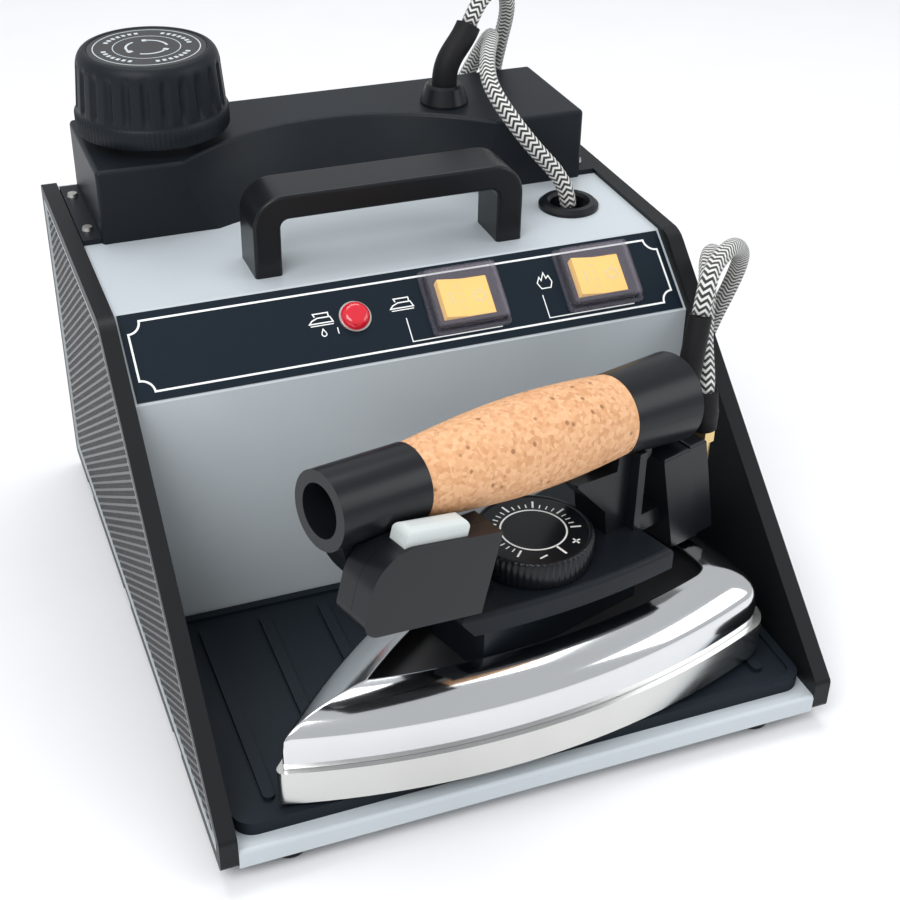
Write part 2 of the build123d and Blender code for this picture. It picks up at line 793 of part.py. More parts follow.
with BuildPart() as soleplate:
    add(iron_face(0, 1.2))
    add(iron_face(1.2, 0.0))
    loft(ruled=True)
    add(iron_face(1.2, 0.0))
    extrude(amount=sole_h - 1.2)
    vents = [(s, w * 0.62) for s, w in ((52, 28), (78, 38), (104, 45), (132, 51), (160, 54), (188, 56))]
    with BuildSketch(iron_plane(0)):
        with Locations(*vents, *[(s, -w) for s, w in vents], (34, 0)):
            Circle(2.0)
    extrude(amount=4.0, mode=Mode.SUBTRACT)
save(soleplate, "soleplate")

cover_steps = [(17.5, 2.5), (29.0, 2.7), (33.5, 4.4), (37.5, 8.0), (40.3, 13.0), (41.8, 19.0), (42.0, 23.0)]
inner_steps = [
    (17.5, 4.2),
    (29.0, 4.4),
    (32.6, 6.0),
    (36.2, 9.4),
    (38.8, 13.8),
    (40.2, 19.2),
    (40.4, 23.2),
    (43.0, 23.2),
]
with BuildPart() as cover_room:
    for z, inset in inner_steps:
        add(iron_face(z, inset, heel_r=max(6.0, 14.0 - inset / 2)))
    loft(ruled=True)
with BuildPart() as iron_cover:
    for z, inset in cover_steps:
        add(iron_face(z, inset, heel_r=max(6.0, 14.0 - inset / 2)))
    loft(ruled=True)
    add(cover_room.part, mode=Mode.SUBTRACT)
save(iron_cover, "iron_cover")

with BuildPart() as heat_shield:
    add(iron_face(29.0, 8.0, heel_r=9.0))
    extrude(amount=2.0)
save(heat_shield, "heat_shield")

# ---------------------------------------------------------------- iron: body, posts and grip
shield_top = 31.0
with BuildPart() as iron_body:
    add(iron_face(tray_z0, 22.0, heel_r=5.0))
    extrude(amount=tray_z1 - tray_z0)
    with BuildSketch(iron_side(0)):
        with BuildLine():
            Polyline((30, tray_z0 - 2), (88, tray_z0 - 2), (78, tray_z1 + 1), (30, tray_z1 + 1), close=True)
        make_face()
    extrude(amount=60, both=True, mode=Mode.SUBTRACT)
    with BuildSketch(iron_side(0)):
        with Locations((210, (tray_z0 + tray_z1) / 2)):
            Rectangle(58, tray_z1 - tray_z0 + 2)
    extrude(amount=60, both=True, mode=Mode.SUBTRACT)
    upper = iron_body.faces().sort_by(Axis.Z)[-1].edges()
    fillet(upper, radius=2.4)
    with BuildSketch(iron_plane(shield_top)):
        with Locations((135, 0)):
            Rectangle(86, 34)
        with Locations((dial_s, 0)):
            Circle(13.5, mode=Mode.SUBTRACT)
    extrude(amount=tray_z0 - shield_top)
    with BuildSketch(iron_plane(tray_z0 - 3)):
        with Locations((dial_s, 0)):
            Circle(3.3)
    extrude(amount=20, mode=Mode.SUBTRACT)
save(iron_body, "iron_body")

front_cap_r, front_cap_len = 15.5, 40.0
rear_cap_len = 36.0
rod_r = 3.0
with BuildPart() as front_arm:
    with BuildSketch(iron_side(0)):
        with BuildLine():
            Spline((29.5, 127.0), (33.0, 108.0), (46.0, 88.0), (68.0, 72.0), (78.5, tray_z1))
            Polyline(
                (78.5, tray_z1),
                (104.0, tray_z1),
                (88.0, 76.0),
                (70.0, 96.0),
                (63.0, 116.0),
                (63.0, 127.0),
            )
            Line((63.0, 127.0), (29.5, 127.0))
        make_face()
    extrude(amount=8.6, both=True)
    with BuildSketch(grip_plane(-front_cap_len)):
        Circle(front_cap_r)
    extrude(amount=front_cap_len)
    with BuildSketch(grip_plane(-front_cap_len)):
        Circle(10.6)
    extrude(amount=27.0, mode=Mode.SUBTRACT)
    with BuildSketch(grip_plane(-14)):
        Circle(rod_r + 0.2)
    extrude(amount=20.0, mode=Mode.SUBTRACT)
save(front_arm, "front_arm")

with BuildPart() as rear_post:
    with BuildSketch(iron_side(0)):
        with BuildLine():
            Polyline(
                (146, 108),
                (146, 97),
                (163, 78),
                (165, tray_z1),
                (181, tray_z1),
                (181, 92),
                (188, 97),
                (188, 112),
                close=True,
            )
        make_face()
    extrude(amount=9.5, both=True)
    with BuildSketch(grip_plane(grip_len)):
        Circle(17.6)
    with BuildSketch(grip_plane(grip_len + rear_cap_len)):
        Circle(19.4)
    loft(ruled=True)
    with BuildSketch(iron_side(-9.5)):
        with BuildLine():
            Polyline((176, tray_z1), (180, tray_z1), (180, 104), (176, 104), close=True)
        make_face()
    extrude(amount=5.0)
    with BuildSketch(grip_plane(-1)):
        Circle(rod_r + 0.2)
    extrude(amount=grip_len + 26.0, mode=Mode.SUBTRACT)
    with BuildSketch(grip_plane(0)):
        Circle(24.0)
    extrude(amount=grip_len, mode=Mode.SUBTRACT)
save(rear_post, "rear_post")

with BuildPart() as cork_grip:
    with BuildSketch(Plane(origin=grip_plane(0).origin, x_dir=grip_plane(0).z_dir, z_dir=near_dir)):
        with BuildLine():
            Line((0, rod_r + 0.2), (0, 14.8))
            Spline((0, 14.8), (24, 17.6), (56, 19.6), (84, 19.0), (grip_len, 17.4))
            Line((grip_len, 17.4), (grip_len, rod_r + 0.2))
            Line((grip_len, rod_r + 0.2), (0, rod_r + 0.2))
        make_face()
    revolve(axis=Axis(grip_plane(0).origin, grip_plane(0).z_dir))
save(cork_grip, "cork_grip")

with BuildPart() as grip_rod:
    with BuildSketch(grip_plane(-20)):
        Circle(rod_r)
    extrude(amount=grip_len + 44)
    with BuildSketch(grip_plane(-18)):
        RegularPolygon(6.4, 6)
    extrude(amount=5.0)
save(grip_rod, "grip_rod")

# ---------------------------------------------------------------- iron: steam switch box
box_a = radians(box_slope)
box_len, box_h = 59.0, 36.0
box_c = (57.5, 100.6)
box_near, box_mid, box_far = -27.0, -18.2, -9.3


def box_plane(w):
    """Upright plane of the steam switch box at w, tilted with the box; its middle is the origin."""
    lean = along * cos(box_a) + Vector(0, 0, -sin(box_a))
    return Plane(origin=IRON.from_local_coords((box_c[0], w, box_c[1])), x_dir=lean, z_dir=near_dir)


def box_face(inset):
    Rectangle(box_len - 2 * inset, box_h - 2 * inset)
    lead = vertices().group_by(Axis.X)[0]
    fillet(lead.sort_by(Axis.Y)[-1], radius=17.0 - inset)
    corner = [v for v in vertices() if v.X < -box_len / 2 + inset + 0.1 and v.Y < -box_h / 2 + inset + 0.1]
    fillet(corner, radius=8.0 - inset / 2)


button_e0, button_e1 = -17.0, 13.0
button_w = (-25.2, -16.0)
box_wall = 1.6


def box_half(w0, w1, wall_at_near):
    """One half of the box between w0 and w1, hollow towards the seam, with the button's slot."""
    with BuildPart() as half:
        with BuildSketch(box_plane(w1)):
            box_face(0)
        extrude(amount=w1 - w0)
        room0 = w0 + box_wall if wall_at_near else w0 - 1
        room1 = w1 + 1 if wall_at_near else w1 - box_wall
        with BuildSketch(box_plane(room1)):
            box_face(box_wall)
        extrude(amount=room1 - room0, mode=Mode.SUBTRACT)
        with BuildSketch(box_plane(button_w[1] + 0.3)):
            with Locations(((button_e0 + button_e1) / 2, box_h / 2)):
                Rectangle(button_e1 - button_e0 + 0.8, 14)
        extrude(amount=button_w[1] - button_w[0] + 0.6, mode=Mode.SUBTRACT)
        with BuildSketch(grip_plane(-front_cap_len - 1)):
            Circle(front_cap_r + 0.4)
        extrude(amount=front_cap_len + 1, mode=Mode.SUBTRACT)
        with BuildSketch(grip_plane(0)):
            Circle(18.4)
        extrude(amount=30, mode=Mode.SUBTRACT)
    return half


near_half = box_half(box_near, box_mid, True)
save(near_half, "switch_box_near_half")
far_half = box_half(box_mid + 0.1, box_far, False)
save(far_half, "switch_box_far_half")

with BuildPart() as steam_button:
    with BuildSketch(box_plane(button_w[1])):
        with Locations(((button_e0 + button_e1) / 2, box_h / 2 + 1.0)):
            Rectangle(button_e1 - button_e0, 11.0)
    extrude(amount=button_w[1] - button_w[0])
    lift = Axis(box_plane(0).origin, box_plane(0).y_dir)
    crown = steam_button.faces().sort_by(lift)[-1].edges()
    fillet(crown, radius=3.2)
save(steam_button, "steam_button")

with BuildPart() as steam_microswitch:
    with BuildSketch(box_plane(-13.4)):
        with Locations((0, -3.0)):
            Rectangle(20, 10)
    extrude(amount=6.4)
    with BuildSketch(box_plane(-15.4)):
        with Locations((4, 2.8)):
            Circle(1.2)
    extrude(amount=2.4)
save(steam_microswitch, "steam_microswitch")

# ---------------------------------------------------------------- iron: thermostat and dial
dial_z0, dial_z1 = 65.4, 78.0
dial_r = 25.4
with BuildPart() as thermostat:
    with BuildSketch(iron_plane(shield_top)):
        with Locations((dial_s, 0)):
            Circle(12.5)
    extrude(amount=14)
    with BuildSketch(iron_plane(shield_top + 14)):
        with Locations((dial_s, 0)):
            Circle(6.0)
    extrude(amount=4.5)
save(thermostat, "thermostat")

with BuildPart() as thermostat_dial:
    with BuildSketch(iron_plane(dial_z0)):
        with Locations((dial_s, 0)):
            Circle(dial_r)
    extrude(amount=dial_z1 - dial_z0)
    with BuildSketch(iron_plane(dial_z1)):
        with Locations((dial_s, 0)):
            Circle(dial_r - 1.8)
    extrude(amount=-0.8, mode=Mode.SUBTRACT)
    with BuildSketch(iron_plane(shield_top + 19.0)):
        with Locations((dial_s, 0)):
            Circle(3.0)
    extrude(amount=dial_z0 - shield_top - 19.0)
save(thermostat_dial, "thermostat_dial")

# ---------------------------------------------------------------- iron: terminal box, cord sleeve, steam inlet
lean = 0.2222
tb_top_s0, tb_seam_s, tb_top_s1 = 191.5, 207.5, 218.0
tb_z0, tb_z1 = 44.0, 94.4
tb_half_w = 14.0


def leaning(s0, s1):
    drop = (tb_z1 - tb_z0) * lean
    with BuildSketch(iron_side(0)) as piece:
        with BuildLine():
            Polyline((s0, tb_z1), (s1, tb_z1), (s1 + drop, tb_z0), (s0 + drop, tb_z0), close=True)
        make_face()
    return piece.sketch


with BuildPart() as terminal_box_front:
    extrude(leaning(tb_top_s0, tb_seam_s), amount=tb_half_w, both=True)
    fillet(terminal_box_front.faces().sort_by(Axis.Z)[-1].edges(), radius=1.4)
    with BuildSketch(iron_side(0)):
        with BuildLine():
            Polyline((181.2, 56), (181.2, tray_z1), (204, tray_z1), (204, 56), close=True)
        make_face()
    extrude(amount=8, both=True)
save(terminal_box_front, "terminal_box_front")
with BuildPart() as terminal_box_rear:
    extrude(leaning(tb_seam_s + 0.2, tb_top_s1), amount=tb_half_w - 0.8, both=True)
    fillet(terminal_box_rear.faces().sort_by(Axis.Z)[-1].edges(), radius=1.4)
save(terminal_box_rear, "terminal_box_rear")

cord_end = Vector(104.0, -72.0, 166.0)
sleeve_foot = IRON.from_local_coords((213.4, 0.0, tb_z1))
iron_sleeve_dir = (cord_end - sleeve_foot).normalized()
with BuildPart() as iron_cord_sleeve:
    foot_plane = Plane(origin=sleeve_foot, z_dir=(0, 0, 1))
    with BuildSketch(foot_plane):
        Circle(4.6)
    with BuildSketch(Plane(origin=sleeve_foot + iron_sleeve_dir * 9, z_dir=iron_sleeve_dir)):
        Circle(5.7)
    loft()
    with BuildSketch(Plane(origin=sleeve_foot + iron_sleeve_dir * 9, z_dir=iron_sleeve_dir)):
        Circle(5.7)
    with BuildSketch(Plane(origin=cord_end, z_dir=iron_sleeve_dir)):
        Circle(5.0)
    loft()
save(iron_cord_sleeve, "iron_cord_sleeve")

inlet_s, inlet_top = 229.6, 100.0
with BuildPart() as steam_inlet:
    with BuildSketch(iron_plane(70)):
        with Locations((inlet_s, 0)):
            Circle(4.6)
    extrude(amount=inlet_top - 70)
    with BuildSketch(iron_plane(84)):
        with Locations((inlet_s, 0)):
            RegularPolygon(6.0, 6)
    extrude(amount=6)
    spot = IRON.from_local_coords((224.4, 0, 76))
    with BuildSketch(Plane(origin=spot, x_dir=near_dir, z_dir=along)):
        Circle(3.6)
    extrude(amount=5.0)
save(steam_inlet, "steam_inlet")

# ---------------------------------------------------------------- the two cords
cord_r = 4.0
coil_r = 46.0
coil_turns = 3
coil_pitch = 8.2
floor_z = cord_r + 0.2
coil_top = floor_z + coil_pitch * coil_turns
hose_coil_x, cord_coil_x, coil_y = 62.0, -62.0, 222.0
hose_x, cord_x = hose_coil_x + coil_r, cord_coil_x + coil_r
end_gap = 0.3


def bend_radii(spots, share=0.45):
    """Radius of each bend: a share of the shorter run beside it, by the tangent of half the turn."""
    radii = []
    for a, b, c in zip(spots, spots[1:], spots[2:]):
        run_in, run_out = b - a, c - b
        half = radians(run_in.get_angle(run_out)) / 2
        radii.append(share * min(run_in.length, run_out.length) / tan(half))
    return radii


def report_length(name, line, piece):
    """Print a cord's length and how its volume compares with a straight cord as long."""
    length = sum(e.length for e in line.edges())
    fullness = piece.part.volume / (pi * cord_r**2 * length)
    print(name, "length", round(length), "volume ratio", round(fullness, 3))


def tube(points, name):
    """Round cord through hand-chosen points: straight runs joined by tangent arcs."""
    spots = [Vector(*p) for p in points]
    radii = bend_radii(spots)
    print(name, "bend radii", [round(r, 1) for r in radii])
    with BuildPart() as piece:
        with BuildLine() as route:
            FilletPolyline(*spots, radius=radii)
        with BuildSketch(Plane(origin=spots[0], z_dir=spots[1] - spots[0])):
            Circle(cord_r)
        sweep()
    report_length(name, route, piece)
    return piece.part


def coil(x, name):
    """Flat stack of turns on the floor behind the cabinet, where a cord's spare length is put away."""
    with BuildPart() as piece:
        with BuildLine() as line:
            Helix(coil_pitch, coil_pitch * coil_turns, coil_r, center=(x, coil_y, floor_z), lefthand=True)
        start = line.edges()[0]
        with BuildSketch(Plane(origin=start @ 0, z_dir=start % 0)):
            Circle(cord_r)
        sweep(is_frenet=True)
    save(piece, name)
    report_length(name, line, piece)


coil(hose_coil_x, "hose_coil")
coil(cord_coil_x, "cord_coil")

inlet_end = IRON.from_local_coords((inlet_s, 0, inlet_top + end_gap))
hose_down = [
    (74.0, 124.0, 234.0),
    (80.0, 127.6, 243.7),
    (90.0, 132.0, 249.0),
    (100.0, 138.0, 244.0),
    (104.5, 146.0, 231.0),
    (106.0, 158.0, 212.0),
    (107.0, 170.0, 186.0),
    (109.0, 176.0, 152.0),
    (107.0, 178.0, 118.0),
    (108.6, 180.0, 88.0),
    (108.4, 181.0, 66.0),
    (hose_x, 188.0, 42.0),
    (hose_x, 205.0, 30.0),
    (hose_x, coil_y, coil_top),
]
hose_on = [
    (hose_x, coil_y, floor_z),
    (hose_x, 238.0, floor_z),
    (118.0, 256.0, floor_z),
    (138.0, 258.0, floor_z),
    (150.0, 240.0, floor_z),
    (152.0, 210.0, floor_z),
    (150.0, 170.0, floor_z),
    (151.0, 122.0, floor_z),
    (150.0, 86.0, floor_z + 1.0),
    (150.2, 60.0, 18.0),
    (150.6, 40.0, 46.0),
    (150.8, 24.0, 82.0),
    (151.4, 10.0, 118.0),
    (151.0, -3.0, 145.0),
    (145.0, -12.0, 163.0),
    (132.0, -27.0, 169.0),
    (121.0, -48.0, 165.0),
    (111.5, -64.0, 151.0),
    (inlet_end.X, inlet_end.Y, inlet_end.Z + 11.0),
    (inlet_end.X, inlet_end.Y, inlet_end.Z),
]
cord_down = [
    (grommet_x, grommet_y, deck_z),
    (99.8, 55.0, 171.0),
    (95.0, 58.5, 180.5),
    (87.0, 62.6, 189.5),
    (80.5, 67.5, 198.0),
    (75.5, 74.5, 206.0),
    (72.5, 83.0, 212.5),
    (72.5, 93.0, 217.5),
    (76.5, 105.0, 221.5),
    (83.4, 119.5, 224.0),
    (91.2, 134.0, 224.5),
    (94.5, 148.0, 217.5),
    (93.0, 160.0, 203.0),
    (86.0, 170.0, 180.0),
    (72.0, 175.0, 148.0),
    (54.0, 176.5, 116.0),
    (32.0, 178.0, 88.0),
    (8.0, 181.0, 66.0),
    (-9.0, 188.0, 45.0),
    (cord_x, 205.0, 30.0),
    (cord_x, coil_y, coil_top),
]
cord_start = cord_end + iron_sleeve_dir * end_gap
cord_lead = cord_end + iron_sleeve_dir * 11.0
cord_on = [
    (cord_x, coil_y, floor_z),
    (cord_x, 240.0, floor_z),
    (-8.0, 262.0, floor_z),
    (14.0, 282.0, floor_z),
    (50.0, 288.0, floor_z),
    (98.0, 287.0, floor_z),
    (142.0, 280.0, floor_z),
    (165.0, 256.0, floor_z),
    (168.0, 222.0, floor_z),
    (166.0, 176.0, floor_z),
    (167.5, 128.0, floor_z),
    (166.0, 84.0, floor_z),
    (165.0, 52.0, floor_z + 1.0),
    (161.0, 33.0, 20.0),
    (156.0, 18.0, 50.0),
    (152.6, 6.0, 86.0),
    (151.6, -5.0, 118.0),
    (152.0, -18.0, 146.0),
    (149.5, -29.0, 167.0),
    (139.0, -39.0, 179.0),
    (125.0, -52.0, 184.0),
    (113.0, -62.0, 182.0),
    (cord_lead.X, cord_lead.Y, cord_lead.Z),
    (cord_start.X, cord_start.Y, cord_start.Z),
]
for name, routes in (("steam_hose", (hose_down, hose_on)), ("iron_cord", (cord_down, cord_on))):
    with BuildPart() as both_lengths:
        add([tube(route, name) for route in routes])
    save(both_lengths, name)
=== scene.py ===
# %% [markdown]
# # A steam generator iron on its parking tray
# The frame is a set of finished CAD solids, each hung on the body that it moves with. This file gives
# every solid a finish, and makes again, in mesh code, the pieces whose small shapes a plain solid
# doesn't hold: braided cords, the perforated side sheets, the ribbed cap, the chrome cover and the dial.

# %% Load the frame
from math import atan2, ceil, cos, pi, radians, sin, sqrt
import json
import bpy
from mathutils import Matrix, Vector


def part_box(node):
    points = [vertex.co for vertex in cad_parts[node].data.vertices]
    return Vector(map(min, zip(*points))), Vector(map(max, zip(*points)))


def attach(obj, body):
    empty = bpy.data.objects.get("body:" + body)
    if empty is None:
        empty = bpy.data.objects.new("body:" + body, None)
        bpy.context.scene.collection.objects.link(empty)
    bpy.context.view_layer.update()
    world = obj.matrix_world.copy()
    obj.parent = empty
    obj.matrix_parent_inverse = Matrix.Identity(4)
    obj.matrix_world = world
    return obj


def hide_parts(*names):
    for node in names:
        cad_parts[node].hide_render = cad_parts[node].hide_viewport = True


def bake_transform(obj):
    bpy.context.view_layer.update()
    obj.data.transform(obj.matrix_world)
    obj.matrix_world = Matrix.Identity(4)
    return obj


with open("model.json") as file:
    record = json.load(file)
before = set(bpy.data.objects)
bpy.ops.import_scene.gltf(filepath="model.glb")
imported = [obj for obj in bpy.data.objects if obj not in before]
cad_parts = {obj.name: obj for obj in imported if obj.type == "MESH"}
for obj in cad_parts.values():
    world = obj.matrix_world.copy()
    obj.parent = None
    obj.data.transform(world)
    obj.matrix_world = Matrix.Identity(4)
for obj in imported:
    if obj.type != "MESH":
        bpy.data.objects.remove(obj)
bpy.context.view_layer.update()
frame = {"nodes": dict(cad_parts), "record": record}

MM = 0.001

# %% [markdown]
# ## Camera
# The camera looks down on the front left corner through a moderately long lens. Its rotation is built
# from three vectors, right, up and back, because that makes a small roll easy to read.

# %% Camera
def aim_camera(spot, azimuth, elevation, roll, lens):
    a, e, r = radians(azimuth), radians(elevation), radians(roll)
    back = Vector((sin(a) * cos(e), -cos(a) * cos(e), sin(e)))
    level = Vector((cos(a), sin(a), 0))
    rise = back.cross(level)
    right = cos(r) * level + sin(r) * rise
    up = cos(r) * rise - sin(r) * level
    camera = bpy.data.objects.new("camera", bpy.data.cameras.new("camera"))
    bpy.context.scene.collection.objects.link(camera)
    camera.matrix_world = Matrix((
        (right.x, up.x, back.x, spot[0]),
        (right.y, up.y, back.y, spot[1]),
        (right.z, up.z, back.z, spot[2]),
        (0, 0, 0, 1),
    ))
    camera.data.lens = lens
    camera.data.sensor_width = 36
    camera.data.clip_start = 0.01
    bpy.context.scene.camera = camera
    return camera


camera = aim_camera((-0.212, -0.575, 0.479), -21.9, 33.3, 1.2, 62.0)
print("lens", camera.data.lens)

# %% [markdown]
# ## Small helpers
# Everything that is made here ends as a mesh object, most of them riding on a body. One helper links it,
# gives it its material and hides the pieces of the frame that it stands for.

# %% Helpers for pieces
def add_piece(name, verts, faces, material, body, replaces=(), smooth=True):
    """Mesh object from points in metres, in the row frame, riding on a body of the frame if one is given."""
    mesh = bpy.data.meshes.new(name)
    mesh.from_pydata([tuple(v) for v in verts], [], faces)
    mesh.validate()
    mesh.materials.append(material)
    mesh.polygons.foreach_set("use_smooth", [smooth] * len(mesh.polygons))
    piece = bpy.data.objects.new(name, mesh)
    bpy.context.scene.collection.objects.link(piece)
    if body:
        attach(piece, body)
    if replaces:
        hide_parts(*replaces)
    return piece


def ring_faces(rings, count, closed_ring=True):
    """Quads between rings of points that were listed one ring after the other."""
    faces = []
    for i in range(rings - 1):
        for j in range(count if closed_ring else count - 1):
            k = (j + 1) % count
            faces.append((i * count + j, i * count + k, (i + 1) * count + k, (i + 1) * count + j))
    return faces


# %% [markdown]
# ## Materials
# A material starts from one Principled shader. The detail comes from a few kinds of texture: fine noise
# for cast and sprayed surfaces, stretched noise for brushed metal, cells for cork, and stripes for braid.
# Numbers that are the same everywhere go straight on the shader's sockets.

# %% A material with fine grain
def new_material(name, color, rough, metal=0.0, **sockets):
    """Principled material, with its shader, for the helpers below to build on."""
    material = bpy.data.materials.new(name)
    material.use_nodes = True
    shader = material.node_tree.nodes["Principled BSDF"]
    shader.inputs["Base Color"].default_value = (*color, 1)
    shader.inputs["Roughness"].default_value = rough
    shader.inputs["Metallic"].default_value = metal
    for socket, value in sockets.items():
        shader.inputs[socket.replace("_", " ")].default_value = value
    return material, shader


def node(material, kind, **settings):
    made = material.node_tree.nodes.new(kind)
    for key, value in settings.items():
        if key in made.bl_rna.properties:
            setattr(made, key, value)
        else:
            made.inputs[key.replace("_", " ")].default_value = value
    return made


def link(material, source, target):
    material.node_tree.links.new(source, target)


def spread(material, value, low, high, target):
    """Sends a 0 to 1 value to a socket as a range from low to high."""
    limits = node(material, "ShaderNodeMapRange", To_Min=low, To_Max=high)
    link(material, value, limits.inputs["Value"])
    link(material, limits.outputs["Result"], target)


def two_tone(material, value, dark, light, target, start=0.0, stop=1.0):
    ramp = node(material, "ShaderNodeValToRGB")
    ramp.color_ramp.elements[0].position = start
    ramp.color_ramp.elements[0].color = (*dark, 1)
    ramp.color_ramp.elements[1].position = stop
    ramp.color_ramp.elements[1].color = (*light, 1)
    link(material, value, ramp.inputs["Fac"])
    link(material, ramp.outputs["Color"], target)


def add_bump(material, shader, height, strength, distance):
    bump = node(material, "ShaderNodeBump", Strength=strength, Distance=distance)
    link(material, height, bump.inputs["Height"])
    link(material, bump.outputs["Normal"], shader.inputs["Normal"])


def noise(material, scale, stretch=(1, 1, 1), detail=3.0):
    """Noise in metres of the row frame: scale is how many lumps there are in a metre."""
    place = node(material, "ShaderNodeTexCoord")
    mapping = node(material, "ShaderNodeMapping")
    mapping.inputs["Scale"].default_value = stretch
    grain = node(material, "ShaderNodeTexNoise", Scale=scale, Detail=detail)
    link(material, place.outputs["Object"], mapping.inputs["Vector"])
    link(material, mapping.outputs["Vector"], grain.inputs["Vector"])
    return grain.outputs["Fac"]


def grained(name, color, rough, grain_mm, depth_mm, metal=0.0, tone=0.12, gloss=0.07,
            stretch=(1, 1, 1), **sockets):
    """Plain finish with fine grain, slight blotches of tone and uneven gloss."""
    material, shader = new_material(name, color, rough, metal, **sockets)
    fine = noise(material, 1000 / grain_mm, stretch)
    blotch = noise(material, 14.0, detail=4.0)
    darker = tuple(c * (1 - tone) for c in color)
    lighter = tuple(min(1, c * (1 + tone)) for c in color)
    two_tone(material, blotch, darker, lighter, shader.inputs["Base Color"], 0.3, 0.7)
    spread(material, fine, max(0, rough - gloss), min(1, rough + gloss), shader.inputs["Roughness"])
    add_bump(material, shader, fine, 0.5, depth_mm * MM)
    return material


# %% [markdown]
# Most of the cabinet is sprayed steel and moulded plastic. The grey is a smooth, slightly glossy powder
# coat, the rear cover has a fine spark-eroded texture, and the handles are smoother and shinier. Black
# parts reflect a bright room strongly, which makes them look grey, so the matt ones reflect less of it.

# %% Paints, plastics and rubber
matt = {"Specular_IOR_Level": 0.2}
grey_paint = grained("grey_paint", (0.50, 0.55, 0.58), 0.34, 0.9, 0.012, tone=0.03,
                     Coat_Weight=0.25, Coat_Roughness=0.2)
black_frame = grained("black_frame", (0.007, 0.008, 0.009), 0.42, 0.7, 0.05, **matt)
black_mesh = grained("black_mesh", (0.004, 0.004, 0.005), 0.5, 0.8, 0.03, **matt)
lattice_paint = grained("lattice_paint", (0.018, 0.019, 0.021), 0.36, 0.8, 0.01, tone=0.04)
black_plastic = grained("black_plastic", (0.008, 0.011, 0.015), 0.44, 0.55, 0.10, **matt)
satin_plastic = grained("satin_plastic", (0.007, 0.008, 0.010), 0.30, 0.6, 0.003, tone=0.04, gloss=0.015,
                        Specular_IOR_Level=0.28)
plate_print = grained("plate_print", (0.0035, 0.010, 0.018), 0.36, 1.2, 0.004, tone=0.04, **matt)
mat_rubber = grained("mat_rubber", (0.007, 0.012, 0.018), 0.6, 0.8, 0.05, **matt)
foot_rubber = grained("foot_rubber", (0.009, 0.009, 0.010), 0.6, 0.7, 0.04, **matt)
seal_rubber = grained("seal_rubber", (0.35, 0.09, 0.05), 0.5, 0.8, 0.02)
button_grey = grained("button_grey", (0.58, 0.62, 0.61), 0.38, 0.8, 0.02, tone=0.03)
block_white = grained("block_white", (0.75, 0.75, 0.7), 0.4, 0.9, 0.02)
coil_blue = grained("coil_blue", (0.03, 0.06, 0.2), 0.4, 0.9, 0.02)
disc_print = grained("disc_print", (0.02, 0.021, 0.023), 0.42, 0.7, 0.02)
# Pale grey for the cap's print, and for the painted highlight strip along the side sheets' edges.
highlight_and_print_grey = grained("highlight_and_print_grey", (0.55, 0.6, 0.62), 0.4, 0.9, 0.01, tone=0.04)
white_print = grained("white_print", (0.85, 0.87, 0.86), 0.45, 0.5, 0.004, tone=0.03)

# %% [markdown]
# The metals differ in how they were worked: polished chrome has almost no grain, the sole's edge is
# ground lengthwise, boiler plate is drawn, and brass and copper parts are turned or bent.

# %% Metals
chrome = grained("chrome", (0.70, 0.71, 0.72), 0.11, 3.0, 0.002, metal=1.0, tone=0.02, gloss=0.02)
sole_metal = grained("sole_metal", (0.66, 0.66, 0.64), 0.24, 1.2, 0.010, metal=1.0, tone=0.05,
                     stretch=(0.06, 0.06, 1))
zinc_steel = grained("zinc_steel", (0.55, 0.55, 0.52), 0.35, 0.8, 0.01, metal=1.0)
boiler_steel = grained("boiler_steel", (0.5, 0.5, 0.51), 0.38, 0.9, 0.01, metal=1.0, stretch=(0.1, 1, 1))
brass = grained("brass", (0.7, 0.52, 0.24), 0.3, 0.8, 0.01, metal=1.0)
copper = grained("copper", (0.72, 0.38, 0.24), 0.35, 0.9, 0.01, metal=1.0)

# %% [markdown]
# Cork is pressed granules: pale cells of uneven size with dark flecks between them. Two cell textures of
# different size give the granules, and the smaller one only darkens a few of them.

# %% Cork
def make_cork():
    material, shader = new_material("cork", (0.66, 0.35, 0.17), 0.62)
    place = node(material, "ShaderNodeTexCoord")
    granules = node(material, "ShaderNodeTexVoronoi", Scale=600.0)
    flecks = node(material, "ShaderNodeTexVoronoi", Scale=380.0)
    warp = node(material, "ShaderNodeTexNoise", Scale=300.0, Detail=4.0)
    for cells in (granules, flecks):
        link(material, place.outputs["Object"], cells.inputs["Vector"])
    link(material, place.outputs["Object"], warp.inputs["Vector"])
    tone = node(material, "ShaderNodeSeparateColor")
    link(material, granules.outputs["Color"], tone.inputs["Color"])
    ground = node(material, "ShaderNodeValToRGB")
    for spot, color in zip(ground.color_ramp.elements, ((0.57, 0.28, 0.13, 1), (0.75, 0.44, 0.24, 1))):
        spot.color = color
    middle = ground.color_ramp.elements.new(0.35)
    middle.color = (0.66, 0.35, 0.17, 1)
    link(material, tone.outputs["Red"], ground.inputs["Fac"])
    rare = node(material, "ShaderNodeSeparateColor")
    link(material, flecks.outputs["Color"], rare.inputs["Color"])
    inside = node(material, "ShaderNodeMath", operation="LESS_THAN")
    inside.inputs[1].default_value = 0.06
    link(material, rare.outputs["Green"], inside.inputs[0])
    core = node(material, "ShaderNodeMapRange", From_Min=0.25, From_Max=0.5, To_Min=1.0, To_Max=0.0)
    link(material, flecks.outputs["Distance"], core.inputs["Value"])
    both = node(material, "ShaderNodeMath", operation="MULTIPLY")
    link(material, inside.outputs[0], both.inputs[0])
    link(material, core.outputs["Result"], both.inputs[1])
    mix = node(material, "ShaderNodeMix", data_type="RGBA")
    mix.inputs["B"].default_value = (0.33, 0.15, 0.065, 1)
    link(material, both.outputs[0], mix.inputs["Factor"])
    link(material, ground.outputs["Color"], mix.inputs["A"])
    link(material, mix.outputs["Result"], shader.inputs["Base Color"])
    add_bump(material, shader, warp.outputs["Fac"], 0.45, 0.25 * MM)
    return material


